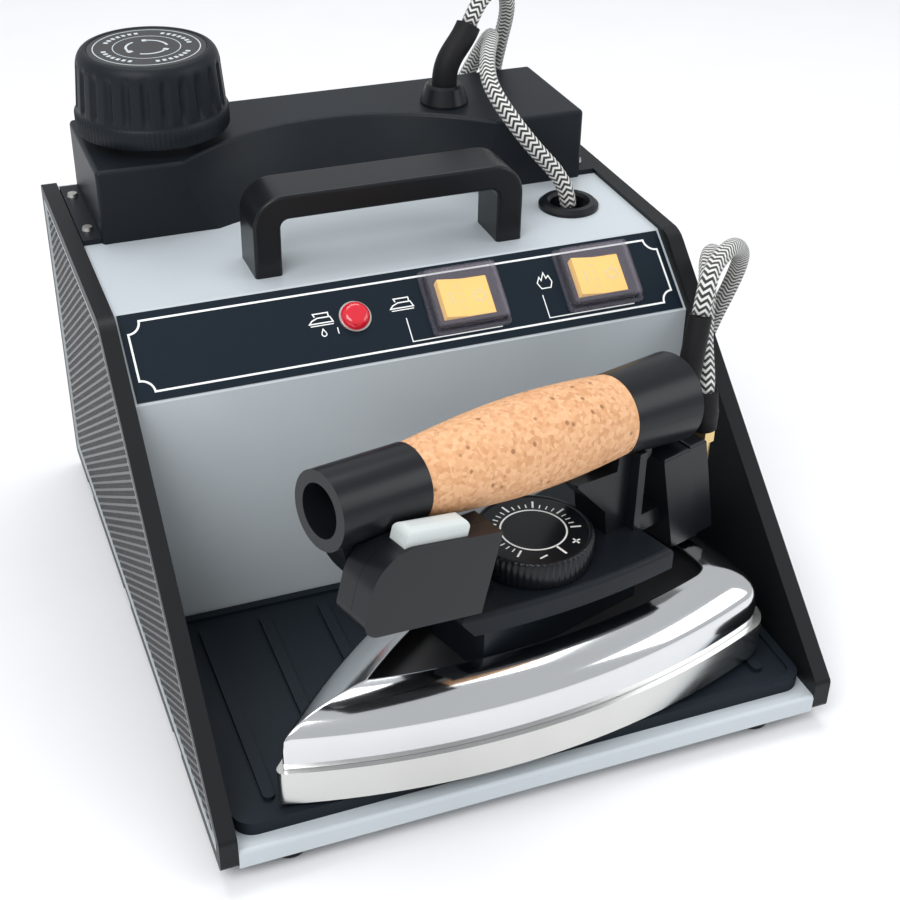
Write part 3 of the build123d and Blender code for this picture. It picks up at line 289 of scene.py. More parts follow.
cork = make_cork()

# %% [markdown]
# The rockers are lit from inside, so their amber plastic glows a little and is paler in the middle. The
# covers over them and the pilot lamp's lens are thin and clear. Alpha makes them see-through.

# %% Amber, clear and red plastic
amber_plastic = grained("amber_plastic", (1.0, 0.58, 0.10), 0.35, 0.9, 0.01, tone=0.04,
                        Emission_Color=(1.0, 0.58, 0.14, 1), Emission_Strength=0.45)
clear_plastic = grained("clear_plastic", (0.36, 0.33, 0.40), 0.12, 1.5, 0.004, tone=0.03, Alpha=0.14)
faded_print = grained("faded_print", (1.0, 0.78, 0.42), 0.45, 0.5, 0.004, tone=0.03)
red_lens = grained("red_lens", (0.50, 0.006, 0.02), 0.15, 1.5, 0.01, Coat_Weight=0.6,
                   Emission_Color=(0.8, 0.01, 0.03, 1), Emission_Strength=0.15)

# %% [markdown]
# The braid is woven from black and white yarn that makes zigzag bands. A UV map gives the place round the
# cord and the metres along it, so the bands keep their width in every bend.

# %% Braid
braid_pitch = 2.7 * MM
zigzags = 5


def make_braid():
    material, shader = new_material("braid", (0.5, 0.5, 0.5), 0.85, Sheen_Weight=0.25)
    place = node(material, "ShaderNodeUVMap", uv_map="braid")
    parts = node(material, "ShaderNodeSeparateXYZ")
    link(material, place.outputs["UV"], parts.inputs["Vector"])

    def step(operation, a, b=None):
        made = node(material, "ShaderNodeMath", operation=operation)
        for socket, value in zip(made.inputs, (a, b)):
            if value is None:
                continue
            if isinstance(value, (int, float)):
                socket.default_value = value
            else:
                link(material, value, socket)
        return made.outputs[0]

    around, along = parts.outputs["X"], parts.outputs["Y"]
    tooth = step("PINGPONG", step("MULTIPLY", around, 2.0 * zigzags), 1.0)
    turns = step("DIVIDE", along, braid_pitch)
    band = step("FRACT", step("ADD", turns, step("MULTIPLY", tooth, 0.75)))
    edge = step("ABSOLUTE", step("SUBTRACT", band, 0.5))
    two_tone(material, edge, (0.02, 0.02, 0.022), (0.80, 0.80, 0.77), shader.inputs["Base Color"], 0.22, 0.30)
    yarn_a = step("SINE", step("MULTIPLY", step("ADD", turns, step("MULTIPLY", around, 10.0)), 4 * pi))
    yarn_b = step("SINE", step("MULTIPLY", step("SUBTRACT", turns, step("MULTIPLY", around, 10.0)), 4 * pi))
    add_bump(material, shader, step("MULTIPLY", yarn_a, yarn_b), 0.6, 0.35 * MM)
    return material


braid = make_braid()

# %% [markdown]
# ## The two cords
# One braided cord carries steam, the other the iron's electric lead. Both leave the back of the
# cabinet, drop behind it, where their spare length lies in a tied coil, and come forward on the right.
# Each is one NURBS line shaped by given points, and a round tube of mesh follows that line.

# %% Sizes of the cords and their coils
cord_r = 4.0 * MM
floor_mm = 4.2
coil_r, coil_turns, coil_pitch, coil_y = 46.0, 3, 8.2, 222.0
coil_xs = {"hose": 62.0, "lead": -62.0}
steps_per_turn = 16


def coil_points(x):
    """Turns of a coil from the top one down to the floor, in millimetres."""
    count = coil_turns * steps_per_turn
    points = []
    for i in range(count + 1):
        angle = 2 * pi * i / steps_per_turn
        height = floor_mm + coil_pitch * coil_turns * (1 - i / count)
        points.append((x + coil_r * cos(angle), coil_y + coil_r * sin(angle), height))
    return points


# %% [markdown]
# The iron stands turned on its tray, so its own frame is handier for its parts: s runs from the tip to the
# heel, w across it, and z up from the sole. The cords end at places given in that frame.

# %% The iron's own frame
turn = radians(17.5)
iron_origin = Vector((-112.0, -148.0, 23.7))
along = Vector((cos(turn), sin(turn), 0))
across = Vector((-sin(turn), cos(turn), 0))


def iron_point(s, w, z):
    """Point of the iron in the row frame, in millimetres: s from the tip, w across, z over the sole."""
    return iron_origin + along * s + across * w + Vector((0, 0, z))


# %% [markdown]
# A cord hangs, bends over an edge and lies on the floor, and each of these needs only a few points. They
# are listed in millimetres: one list from the cabinet down to the coil, one on to the iron.

# %% Routes
hose_end = iron_point(229.6, 0, 100.3)
hose_down = [
    (74, 124, 234), (80, 127.6, 243.7), (90, 132, 249), (100, 138, 244), (104.5, 146, 231),
    (106, 158, 212), (107, 170, 186), (109, 176, 152), (107, 178, 118), (108.6, 180, 88),
    (108.4, 181, 66), (108, 188, 42), (108, 205, 30),
]
hose_on = [
    (108, 238, floor_mm), (118, 256, floor_mm), (138, 258, floor_mm), (150, 240, floor_mm),
    (152, 210, floor_mm), (150, 170, floor_mm), (151, 122, floor_mm), (150, 86, floor_mm + 1),
    (150.2, 60, 18), (150.6, 40, 46), (150.8, 24, 82), (151.4, 10, 118), (151, -3, 145),
    (145, -12, 163), (132, -27, 169), (121, -48, 165), (111.5, -64, 151),
    (hose_end.x, hose_end.y, hose_end.z + 11), tuple(hose_end),
]
cord_end = Vector((104.0, -72.0, 166.0))
sleeve_foot = iron_point(213.4, 0, 94.4)
sleeve_dir = (cord_end - sleeve_foot).normalized()
lead_down = [
    (100.5, 54, 163.5), (99.8, 55, 171), (95, 58.5, 180.5), (87, 62.6, 189.5), (80.5, 67.5, 198),
    (75.5, 74.5, 206), (72.5, 83, 212.5), (72.5, 93, 217.5), (76.5, 105, 221.5), (83.4, 119.5, 224),
    (91.2, 134, 224.5), (94.5, 148, 217.5), (93, 160, 203), (86, 170, 180), (72, 175, 148),
    (54, 176.5, 116), (32, 178, 88), (8, 181, 66), (-9, 188, 45), (-16, 205, 30),
]
lead_on = [
    (-16, 240, floor_mm), (-8, 262, floor_mm), (14, 282, floor_mm), (50, 288, floor_mm),
    (98, 287, floor_mm), (142, 280, floor_mm), (165, 256, floor_mm), (168, 222, floor_mm),
    (166, 176, floor_mm), (167.5, 128, floor_mm), (166, 84, floor_mm), (165, 52, floor_mm + 1),
    (161, 33, 20), (156, 18, 50), (152.6, 6, 86), (151.6, -5, 118), (152, -18, 146),
    (149.5, -29, 167), (139, -39, 179), (125, -52, 184), (113, -62, 182),
    tuple(cord_end + sleeve_dir * 11), tuple(cord_end + sleeve_dir * 0.3),
]

# %% [markdown]
# Blender works out the smooth line, and its mesh without a bevel gives the points to lay a tube on. The
# tube's rings turn as little as possible from one to the next, so that the braid doesn't twist by itself.

# %% A tube along a smooth line
def smooth_line(points):
    """Points along a NURBS line whose control points are given in millimetres."""
    curve = bpy.data.curves.new("route", "CURVE")
    curve.dimensions = "3D"
    curve.resolution_u = 5
    spline = curve.splines.new("NURBS")
    spline.points.add(len(points) - 1)
    for point, place in zip(spline.points, points):
        point.co = (*(Vector(place) * MM), 1)
    spline.order_u = 3
    spline.use_endpoint_u = True
    holder = bpy.data.objects.new("route", curve)
    mesh = bpy.data.meshes.new_from_object(holder)
    line = [v.co.copy() for v in mesh.vertices]
    bpy.data.objects.remove(holder)
    return line


def round_tube(name, line, radius, material, sides=16):
    """Tube of mesh round a line, with a UV map: place round it, and metres along it."""
    verts, lengths = [], [0.0]
    for a, b in zip(line, line[1:]):
        lengths.append(lengths[-1] + (b - a).length)
    normal = (line[1] - line[0]).orthogonal().normalized()
    for i, spot in enumerate(line):
        ahead = (line[min(i + 1, len(line) - 1)] - line[max(i - 1, 0)]).normalized()
        normal = (normal - ahead * normal.dot(ahead)).normalized()
        side = ahead.cross(normal)
        for j in range(sides):
            angle = 2 * pi * j / sides
            verts.append(spot + radius * (cos(angle) * normal + sin(angle) * side))
    faces = ring_faces(len(line), sides)
    faces += [tuple(reversed(range(sides))), tuple((len(line) - 1) * sides + j for j in range(sides))]
    piece = add_piece(name, verts, faces, material, None)
    uv = piece.data.uv_layers.new(name="braid")
    for polygon in piece.data.polygons:
        spots = [(piece.data.loops[k].vertex_index, k) for k in polygon.loop_indices]
        seam = len(spots) == 4 and {v % sides for v, _ in spots} == {0, sides - 1}
        for v, k in spots:
            place = v % sides
            uv.data[k].uv = ((sides if seam and place == 0 else place) / sides, lengths[v // sides])
    return piece, lengths[-1]


# %% Make both cords
cords = {}
for name, down, on, exit_spot, solids in (
    ("hose", hose_down, hose_on, hose_down[0], ("steam_hose", "hose_coil")),
    ("lead", lead_down, lead_on, lead_down[0], ("iron_cord", "cord_coil")),
):
    line = smooth_line(down + coil_points(coil_xs[name]) + on)
    tube, length = round_tube(f"{name}_braid", line, cord_r, braid)
    cords[name] = (tube, line, length, exit_spot, solids)
    print(name, "cord is", round(length, 3), "m long")

# %% [markdown]
# A tie holds each coil. It is a flat band round the turns, so its path is an oval a little larger than
# the stack of turns, and its section is thin and wide.

# %% Coil ties
def coil_tie(name, x):
    """Band round the stack of turns, on the side of the coil away from the cabinet's middle."""
    angle = radians(115)
    outward = Vector((cos(angle), sin(angle), 0))
    sideways = Vector((-sin(angle), cos(angle), 0))
    middle = Vector((x, coil_y, 0)) + outward * coil_r + Vector((0, 0, floor_mm + coil_pitch * coil_turns / 2))
    half_w, half_h, band, thick = 4.3, 15.6, 5.0, 0.8
    verts = []
    count = 40
    for i in range(count):
        t = 2 * pi * i / count
        reach = 1 / (abs(cos(t)) ** 4 + abs(sin(t)) ** 4) ** 0.25
        for out, shift in ((0, -band), (0, band), (thick, band), (thick, -band)):
            across_coil = outward * ((half_w + out) * cos(t) * reach)
            upward = Vector((0, 0, (half_h + out) * sin(t) * reach))
            verts.append((middle + across_coil + upward + sideways * shift) * MM)
    faces = []
    for i in range(count):
        for j in range(4):
            a, b = i * 4 + j, i * 4 + (j + 1) % 4
            c, d = ((i + 1) % count) * 4 + (j + 1) % 4, ((i + 1) % count) * 4 + j
            faces.append((a, b, c, d))
    return add_piece(name, verts, faces, satin_plastic, "cabinet", smooth=False)


ties = {name: coil_tie(f"{name}_tie", x) for name, x in coil_xs.items()}

# %% [markdown]
# The cord solids of the frame are hidden. The tubes ride on no body: each keeps its place in the row
# frame.

for name, (tube, line, length, exit_spot, solids) in cords.items():
    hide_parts(*solids)
    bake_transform(tube)

# %% [markdown]
# ## Perforated side sheets
# Each side is closed by a sheet with staggered diamond holes. Diamonds tile a plane, so each hole is a
# small diamond inside a larger one, with four faces between them. Cells past the border are left out.

# %% Side sheets
half_depth, nose_z, knee_y, side_top, foot_z = 160.0, 23.2, 8.5, 165.5, 8.0
rim = 6.0
cell_y, cell_z = 6.4, 4.2
hole_share = 0.66
edge_width, edge_depth = 1.2, 1.2


def border(inset):
    """Corners (y, z) of the side panel's outline, inset all round."""
    slope = atan2(side_top - nose_z, knee_y + half_depth)
    top, front = side_top - inset, -half_depth + inset
    knee = knee_y + inset * (1 - cos(slope)) / sin(slope)
    nose = nose_z + (inset * sin(slope) - inset / cos(slope)) + inset * (sin(slope) / cos(slope) - sin(slope))
    return [(front, foot_z + inset), (half_depth - inset, foot_z + inset), (half_depth - inset, top),
            (knee, top), (front, nose)]


def inside(y, z, corners):
    for (ay, az), (by, bz) in zip(corners, corners[1:] + corners[:1]):
        if (by - ay) * (z - az) - (bz - az) * (y - ay) < 0:
            return False
    return True


# %% [markdown]
# Neighbouring diamonds share their corners, so each corner is made once and found again by its place.
# The inner edge of every hole is folded back, which gives the sheet its thickness.

# %% The lattice
def side_sheet(side):
    """Lattice of diamonds, 0.8 mm thick, in the recess of one side panel."""
    face_x = side * 137.0
    limit = border(rim + edge_width)
    verts, faces, index = [], [], {}

    def vert(y, z, back):
        key = (round(y, 3), round(z, 3), back)
        if key not in index:
            index[key] = len(verts)
            verts.append(Vector((face_x - side * (0.8 if back else 0.0), y, z)) * MM)
        return index[key]

    rows = ceil(160 / (cell_z / 2))
    for row in range(rows):
        z = foot_z + row * cell_z / 2
        for column in range(ceil(320 / cell_y) + 1):
            y = -half_depth + (column + 0.5 * (row % 2)) * cell_y
            tips = [(y + cell_y / 2, z), (y, z + cell_z / 2), (y - cell_y / 2, z), (y, z - cell_z / 2)]
            if not all(inside(*tip, limit) for tip in tips):
                continue
            small = [(y + (ty - y) * hole_share, z + (tz - z) * hole_share) for ty, tz in tips]
            for k in range(4):
                a, b = tips[k], tips[(k + 1) % 4]
                c, d = small[(k + 1) % 4], small[k]
                faces.append(tuple(vert(*p, False) for p in (a, b, c, d)))
                faces.append((vert(*d, False), vert(*c, False), vert(*c, True), vert(*d, True)))
    name = "right" if side > 0 else "left"
    print(name, "sheet has", len(faces), "faces")
    sheet = (f"{name}_mesh_sheet",)
    return add_piece(f"{name}_lattice", verts, faces, lattice_paint, "cabinet", sheet, False)


# %% [markdown]
# A pale grey strip runs round each sheet, where its cut edge meets the panel: a painted highlight for the
# edge catching light. It is a flat frame with the same five corners as the panel, one border inside another.

# %% The painted edge highlight
def highlight_strip(side, inset, width, thick, label, material):
    """Thin frame, painted pale grey as a highlight, that follows the border of a side panel."""
    outer, inner = border(inset), border(inset + width)
    face_x = side * 137.45
    verts = []
    back_x = face_x - side * thick
    for corners, x in ((outer, face_x), (inner, face_x), (inner, back_x), (outer, back_x)):
        verts += [Vector((x, y, z)) * MM for y, z in corners]
    faces = []
    for band in range(4):
        for k in range(5):
            m = (k + 1) % 5
            nxt = (band + 1) % 4
            faces.append((band * 5 + k, band * 5 + m, nxt * 5 + m, nxt * 5 + k))
    name = "right" if side > 0 else "left"
    return add_piece(f"{name}_{label}", verts, faces, material, "cabinet", smooth=False)


for side in (-1, 1):
    side_sheet(side)
    # Pale strip along the sheet's cut edge: a painted highlight where the edge catches light.
    highlight_strip(side, rim, edge_width, edge_depth, "highlight_and_print_grey", highlight_and_print_grey)

# %% [markdown]
# ## Printed lines
# The console's white border, its small pictures and the dial's marks are ink on a flat face. Ink has
# almost no height, so each line is a flat ribbon, 0.08 mm thick, just proud of the face it lies on.

# %% Ribbons of ink
def ribbon(points, width, closed=False):
    """Corners of a ribbon on both sides of a flat polyline, in the order of its quads."""
    lines = []
    count = len(points)
    for i, p in enumerate(points):
        a = points[(i - 1) % count] if closed or i else p
        b = points[(i + 1) % count] if closed or i < count - 1 else p
        first, second = (Vector(p) - Vector(a)), (Vector(b) - Vector(p))
        if first.length < 1e-9:
            first = second
        if second.length < 1e-9:
            second = first
        n1 = Vector((-first.y, first.x)).normalized()
        n2 = Vector((-second.y, second.x)).normalized()
        mitre = (n1 + n2).normalized()
        reach = width / 2 / max(0.4, mitre.dot(n1))
        lines.append((Vector(p) + mitre * reach, Vector(p) - mitre * reach))
    return lines


def ink(name, strokes, place, body, material, thick=0.08):
    """Ribbons (points, width, closed) laid on a face by place(u, v, height), as one piece."""
    verts, faces = [], []
    for points, width, closed in strokes:
        pairs = ribbon([Vector(p) for p in points], width, closed)
        base = len(verts)
        for left, right in pairs:
            for spot, h in ((left, 0.0), (right, 0.0), (right, thick), (left, thick)):
                verts.append(place(spot.x, spot.y, h) * MM)
        count = len(pairs)
        for i in range(count if closed else count - 1):
            j = (i + 1) % count
            for k in range(4):
                m = (k + 1) % 4
                faces.append((base + i * 4 + k, base + j * 4 + k, base + j * 4 + m, base + i * 4 + m))
        if not closed:
            faces.append(tuple(base + k for k in range(4)))
            faces.append(tuple(base + (count - 1) * 4 + k for k in reversed(range(4))))
    return add_piece(name, verts, faces, material, body, smooth=False)


def arc(cx, cy, r, start, stop, steps=8):
    return [(cx + r * cos(radians(start + (stop - start) * i / steps)),
             cy + r * sin(radians(start + (stop - start) * i / steps))) for i in range(steps + 1)]


# %% [markdown]
# The console slopes back from the front wall to the top plate. Its own u runs to the right and v up the
# slope, from the middle of the console.

# %% Console print
slope = atan2(163.5 - 137.0, 16.5 + 17.5)
console_mid = Vector((0, -0.5, 150.25))
console_up = Vector((0, cos(slope), sin(slope)))
console_out = Vector((0, -sin(slope), cos(slope)))
plate_thick = 0.6
switch_us = {"iron": 24.7, "boiler": 91.1}
controls_v = 2.0
lamp_u = -27.1


def on_console(u, v, h):
    return console_mid + Vector((u, 0, 0)) + console_up * v + console_out * (plate_thick + 0.02 + h)


# %% [markdown]
# The border's corners are notched by quarter circles. The pictures are generic: an iron with a drop for
# steam, an iron for its switch, and a flame for the boiler's, each tied to its switch by a fine line.

# %% Border and pictures
def scalloped_border(half_u, half_v, r):
    """Frame whose corners are cut by quarter circles that curve inwards."""
    points = []
    for side_u, side_v, start in ((1, 1, 270), (-1, 1, 360), (-1, -1, 90), (1, -1, 180)):
        points += arc(side_u * half_u, side_v * half_v, r, start, start - 90)
    return points


def iron_picture(u, v, size):
    """Outline of a small iron seen from the side, with its handle."""
    body = [(-1.0, -0.35), (1.0, -0.35), (0.82, 0.12), (-0.25, 0.12), (-0.75, -0.08)]
    grip = [(-0.45, 0.22), (-0.55, 0.5), (0.72, 0.5), (0.72, 0.12)]
    deck = [(-0.95, -0.55), (1.0, -0.55)]

    def place(points):
        return [(u + x * size, v + y * size) for x, y in points]

    return [(place(body), 0.55, True), (place(grip), 0.55, False), (place(deck), 0.45, False)]


strokes = [(scalloped_border(125.5, 16.4, 5.6), 0.9, True)]
strokes += iron_picture(lamp_u - 15.5, controls_v + 1.6, 5.4)
strokes += iron_picture(switch_us["iron"] - 29.5, controls_v + 2.6, 5.4)
drop = arc(lamp_u - 15.5, controls_v - 5.6, 1.1, -210, 30) + [(lamp_u - 15.5, controls_v - 3.2)]
strokes += [(drop, 0.45, True)]
flame = [
    (-1.9, -2.6), (-3.0, -0.2), (-1.7, 2.0), (-1.2, 0.6), (0.4, 3.6), (0.9, 1.2), (2.0, 2.2),
    (2.8, -0.4), (1.8, -2.6),
]
flame_u = switch_us["boiler"] - 26.0
strokes += [([(flame_u + x * 1.25, controls_v + 1.8 + y * 1.25) for x, y in flame], 0.5, True)]
for centre in switch_us.values():
    bracket_v = controls_v - 16.2
    left_u, right_u = centre - 29, centre + 14
    bracket = [(left_u, controls_v - 4.6), (left_u, bracket_v), (right_u, bracket_v)]
    strokes += [(bracket, 0.45, False)]
strokes += [([(lamp_u - 9, controls_v - 6.5), (lamp_u - 9, controls_v - 3.5)], 0.45, False)]
ink("console_print", strokes, on_console, "cabinet", white_print)

# %% [markdown]
# Each rocker carries the two generic marks for on and off. Its face is a shallow V that rests tilted, so
# the marks are laid on the V first and then turned with it.

# %% Rocker marks
rocker_tilt = radians(8.0)
for name, centre in switch_us.items():
    def on_rocker(u, v, h, centre=centre):
        lift = 2.2 + 1.4 * abs(u) / 12.4 + 0.03 + h
        turned_u = u * cos(rocker_tilt) + lift * sin(rocker_tilt)
        turned_h = lift * cos(rocker_tilt) - u * sin(rocker_tilt)
        sideways = Vector((centre + turned_u, 0, 0))
        return console_mid + sideways + console_up * (controls_v + v) + console_out * turned_h
    marks = [([(-7.5, -3.2), (-7.5, 3.2)], 0.9, False), (arc(7.0, 0, 2.6, 0, 345, 20), 0.8, True)]
    marks += [([(-3.5, v), (-1.2, v)], 0.5, False) for v in (-5.5, -1.8, 1.8, 5.5)]
    ink(f"{name}_rocker_marks", marks, on_rocker, f"{name}_rocker", faded_print)

# %% [markdown]
# ## The boiler's cap
# The cap is a turned shape with wide flutes to grip it by and fine ribs on its foot. A lathe takes a
# profile round the axis, and a rule for the radius at each angle cuts the flutes and ribs.

# %% Lathe
def lathe(name, profile, axis_spot, body, material, replaces=(), samples=96, shape=None):
    """Solid turned from a closed profile (radius, z) round an upright axis, in millimetres."""
    verts = []
    for r, z in profile:
        for j in range(samples):
            angle = 2 * pi * j / samples
            reach = r + (shape(r, z, angle) if shape else 0.0)
            x, y = axis_spot[0] + reach * cos(angle), axis_spot[1] + reach * sin(angle)
            verts.append(Vector((x, y, z)) * MM)
    count = len(profile)
    faces = ring_faces(count, samples)
    last = (count - 1) * samples
    for j in range(samples):
        k = (j + 1) % samples
        faces.append((last + j, last + k, k, j))
    piece = add_piece(name, verts, faces, material, body, replaces)
    return piece


def round_over(r0, z0, r1, z1, steps=6):
    """Quarter round from an upright side at (r0, z0) to a level top at (r1, z1)."""
    angles = [pi / 2 * i / steps for i in range(steps + 1)]
    return [(r1 + (r0 - r1) * cos(a), z0 + (z1 - z0) * sin(a)) for a in angles]


# %% [markdown]
# The cap takes its height and place from its solid in the frame. Its flutes fade out towards the top
# rounding and the foot, because a moulded cap has a smooth shoulder and a ribbed ring to grip.

# %% The cap's shape
cap_low, cap_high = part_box("cap_shell")
cap_spot = ((cap_low.x + cap_high.x) / 2 / MM, (cap_low.y + cap_high.y) / 2 / MM)
cap_z0, cap_z1 = cap_low.z / MM, cap_high.z / MM
flutes, foot_ribs = 24, 96


def cap_shape(r, z, angle):
    if r < 28:
        return 0.0
    if z < cap_z0 + 9.6:
        return 0.30 * cos(foot_ribs * angle) if r > 35.2 else 0.0
    wave = cos(flutes * angle)
    depth = 1.5 * min(1.0, max(0.0, (z - cap_z0 - 11.0) / 2.0), max(0.0, (cap_z1 - 4.5 - z) / 4.0))
    return -depth * max(0.0, wave) ** 0.6 if depth > 0 else 0.0


cap_profile = [
    (31.2, cap_z0), (35.0, cap_z0), (35.6, cap_z0 + 0.6), (35.6, cap_z0 + 8.4),
    (35.0, cap_z0 + 9.2), (34.6, cap_z0 + 10.0), (34.6, cap_z0 + 11.0), (34.5, cap_z0 + 13.0),
]
cap_profile += [(34.5 - 1.3 * t, cap_z0 + 13.0 + 15.0 * t) for t in (0.25, 0.5, 0.75, 1.0)]
cap_profile += round_over(33.1, cap_z1 - 8.0, 28.4, cap_z1, 8)[1:]
cap_profile += [(27.5, cap_z1 - 0.1), (27.4, cap_z1 - 1.5), (10.0, cap_z1 - 1.6), (10.0, cap_z1 - 15.0),
                (14.0, cap_z1 - 15.0), (14.0, cap_z1 - 5.0), (30.0, cap_z1 - 7.0)]
lathe("ribbed_cap", cap_profile, cap_spot, "cap", black_plastic, ("cap_shell",),
      samples=288, shape=cap_shape)


# %% [markdown]
# The disc on top carries rings, short dashes in place of words, and three arrows that say which way to
# turn the cap.

# %% Marks on the cap
def on_cap(u, v, h):
    return Vector((cap_spot[0] + u, cap_spot[1] + v, cap_z1 - 0.4 + 0.02 + h))


cap_marks = [(arc(0, 0, 24.5, 0, 354, 59), 0.5, True), (arc(0, 0, 15.5, 0, 354, 59), 0.4, True)]
for k in range(40):
    a = 360 * k / 40
    if k % 10 < 7:
        cap_marks.append((arc(0, 0, 20.0, a, a + 5.0, 2), 2.2, False))
for k in range(3):
    cap_marks.append((arc(0, 0, 9.5, 120 * k, 120 * k + 80, 8), 1.1, False))
    arrow_head = arc(0, 0, 9.5, 120 * k + 78, 120 * k + 92, 1)
    cap_marks.append((arrow_head, 2.6, False))
ink("cap_marks", cap_marks, on_cap, "cap", highlight_and_print_grey)

# %% [markdown]
# ## The chrome cover of the iron
# The cover is pressed from sheet over the same pointed outline as the sole. Its side stands upright and
# then rolls over into a shoulder, so rings of the outline, each further in and higher, make the shell.

# %% Outline of the iron
side_radius, half_width, widest_s, heel_s = 340.0, 56.0, 187.0, 232.0


def outline(inset, tip_r, heel_r, arc_steps=44, corner_steps=8, heel_steps=10):
    """Points (s, w) round the iron's outline, inset all round, the same number for every inset."""
    r = side_radius - inset
    off = side_radius - half_width
    tip_angle = atan2(off, -sqrt(r * r - off * off))
    tip_s = widest_s + r * cos(tip_angle)
    end_s = heel_s - 4 - inset
    end_angle = atan2(sqrt(r * r - (end_s - heel_r * 0.15 - widest_s) ** 2), end_s - heel_r * 0.15 - widest_s)
    half = []
    for i in range(arc_steps + 1):
        angle = tip_angle + (end_angle - tip_angle) * i / arc_steps
        half.append((widest_s + r * cos(angle), r * sin(angle) - off))
    half = [(s, w) for s, w in half if s < end_s - heel_r * 0.95] or half[:1]
    steps = arc_steps + 1
    last_s, last_w = half[-1]
    resampled = []
    for i in range(steps):
        s = tip_s + tip_r * 0.3 + (last_s - tip_s - tip_r * 0.3) * (i / (steps - 1)) ** 1.4
        resampled.append((s, sqrt(r * r - (s - widest_s) ** 2) - off))
    last_s, last_w = resampled[-1]
    corner = []
    for i in range(1, corner_steps + 1):
        t = pi / 2 * i / corner_steps
        corner.append((last_s + (end_s + 1.2 - last_s) * sin(t), last_w - heel_r * (1 - cos(t))))
    heel = []
    start_w = corner[-1][1]
    bulge = heel_s - inset - corner[-1][0]
    for i in range(1, heel_steps):
        w = start_w * (1 - 2 * i / heel_steps)
        heel.append((corner[-1][0] + bulge * (1 - (w / start_w) ** 2), w))
    far = resampled + corner
    return [(tip_s + tip_r * 0.12, 0.0)] + far + heel + [(s, -w) for s, w in reversed(far)]


def outline_shell(name, rings, material, body, replaces):
    """Closed skin through rings (z, inset, heel radius) of the iron's outline."""
    verts, count = [], 0
    for z, inset, heel_r in rings:
        points = outline(inset, 3.0, heel_r)
        count = len(points)
        verts += [iron_point(s, w, z) * MM for s, w in points]
    return add_piece(name, verts, ring_faces(len(rings), count), material, body, replaces)


# %% [markdown]
# The rings go up the outside, over the rounded shoulder, and back down the inside, so the cover is a
# closed sheet with a thickness. The shoulder is a quarter of an ellipse, wider than it is high.

# %% The pressed shell
shoulder = [(17.6, 2.6), (18.4, 2.5), (22.0, 2.5), (27.0, 2.6), (29.5, 2.9)]
shoulder_r_in, shoulder_r_up = 19.5, 12.2
for i in range(1, 13):
    t = pi / 2 * i / 12
    shoulder.append((29.5 + shoulder_r_up * sin(t), 2.9 + shoulder_r_in * (1 - cos(t))))
shoulder += [
    (41.8, 22.9), (41.3, 23.1), (40.4, 22.7), (39.5, 20.0), (36.5, 12.5), (31.0, 7.0), (24.0, 4.3),
    (17.6, 4.1),
]
rings = [(z, inset, max(5.0, 14.0 - inset / 2)) for z, inset in shoulder]
outline_shell("chrome_shell", rings, chrome, "iron", ("iron_cover",))

# %% [markdown]
# ## The temperature dial
# The dial has fine ribs round its edge and a white ring scale with ticks, from a minus to a plus sign.

# %% Dial
dial_low, dial_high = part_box("thermostat_dial")
dial_spot = ((dial_low.x + dial_high.x) / 2 / MM, (dial_low.y + dial_high.y) / 2 / MM)
dial_z0, dial_z1 = iron_origin.z + 65.4, iron_origin.z + 78.0
stem_z = dial_low.z / MM
dial_ribs = 60


def dial_shape(r, z, angle):
    return 0.28 * cos(dial_ribs * angle) if r > 24.9 else 0.0


dial_profile = [(0.01, stem_z), (3.0, stem_z), (3.0, dial_z0), (24.6, dial_z0), (25.1, dial_z0 + 0.5),
                (25.1, dial_z1 - 1.4), (24.4, dial_z1 - 0.3), (23.7, dial_z1), (23.3, dial_z1 - 0.3),
                (23.0, dial_z1 - 0.8), (22.7, dial_z1 - 0.8), (0.4, dial_z1 - 0.8), (0.01, dial_z1 - 0.8)]
lathe("ribbed_dial", dial_profile, dial_spot, "dial", satin_plastic, ("thermostat_dial",),
      samples=360, shape=dial_shape)


# %% [markdown]
# The dial's marks turn with it, so they ride on its body. Every fourth tick is longer.

# %% Marks on the dial
marks_scale = 1.08


def on_dial(u, v, h):
    middle = Vector((dial_spot[0], dial_spot[1], dial_z1 - 0.8 + 0.02 + h))
    return middle + (along * u + across * v) * marks_scale


dial_marks = [(arc(0, 0, 12.8, 0, 354, 59), 0.7, True)]
for k in range(25):
    a = radians(-120 + 240 * k / 24 + 90)
    far, width = (18.6, 0.8) if k % 4 == 0 else (16.6, 0.5)
    tick = [(r * cos(a), r * sin(a)) for r in (14.4, far)]
    dial_marks.append((tick, width, False))
dial_marks += [([(8.2, -17.0), (8.2, -13.4)], 0.7, False), ([(6.4, -15.2), (10.0, -15.2)], 0.7, False),
               ([(-10.0, -15.2), (-6.4, -15.2)], 0.7, False), ([(0, -12.8), (0, -18.8)], 0.9, False)]
ink("dial_marks", dial_marks, on_dial, "dial", white_print)

# %% [markdown]
# ## Rubber boot on the steam inlet
# The hose is pushed on the brass inlet at the iron's heel. A short rubber boot, slid over the joint, keeps
# hot metal covered. It is turned on the same lathe as the cap.

# %% Boot
inlet_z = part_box("steam_inlet")[1].z / MM
boot_profile = [(4.7, inlet_z - 9.5), (6.6, inlet_z - 9.5), (6.6, inlet_z - 1.0), (6.2, inlet_z + 0.5),
                (5.2, inlet_z + 9.0), (4.2, inlet_z + 9.5), (4.2, inlet_z), (4.7, inlet_z - 0.5)]
lathe("inlet_boot", boot_profile, (hose_end.x, hose_end.y), "iron", foot_rubber)
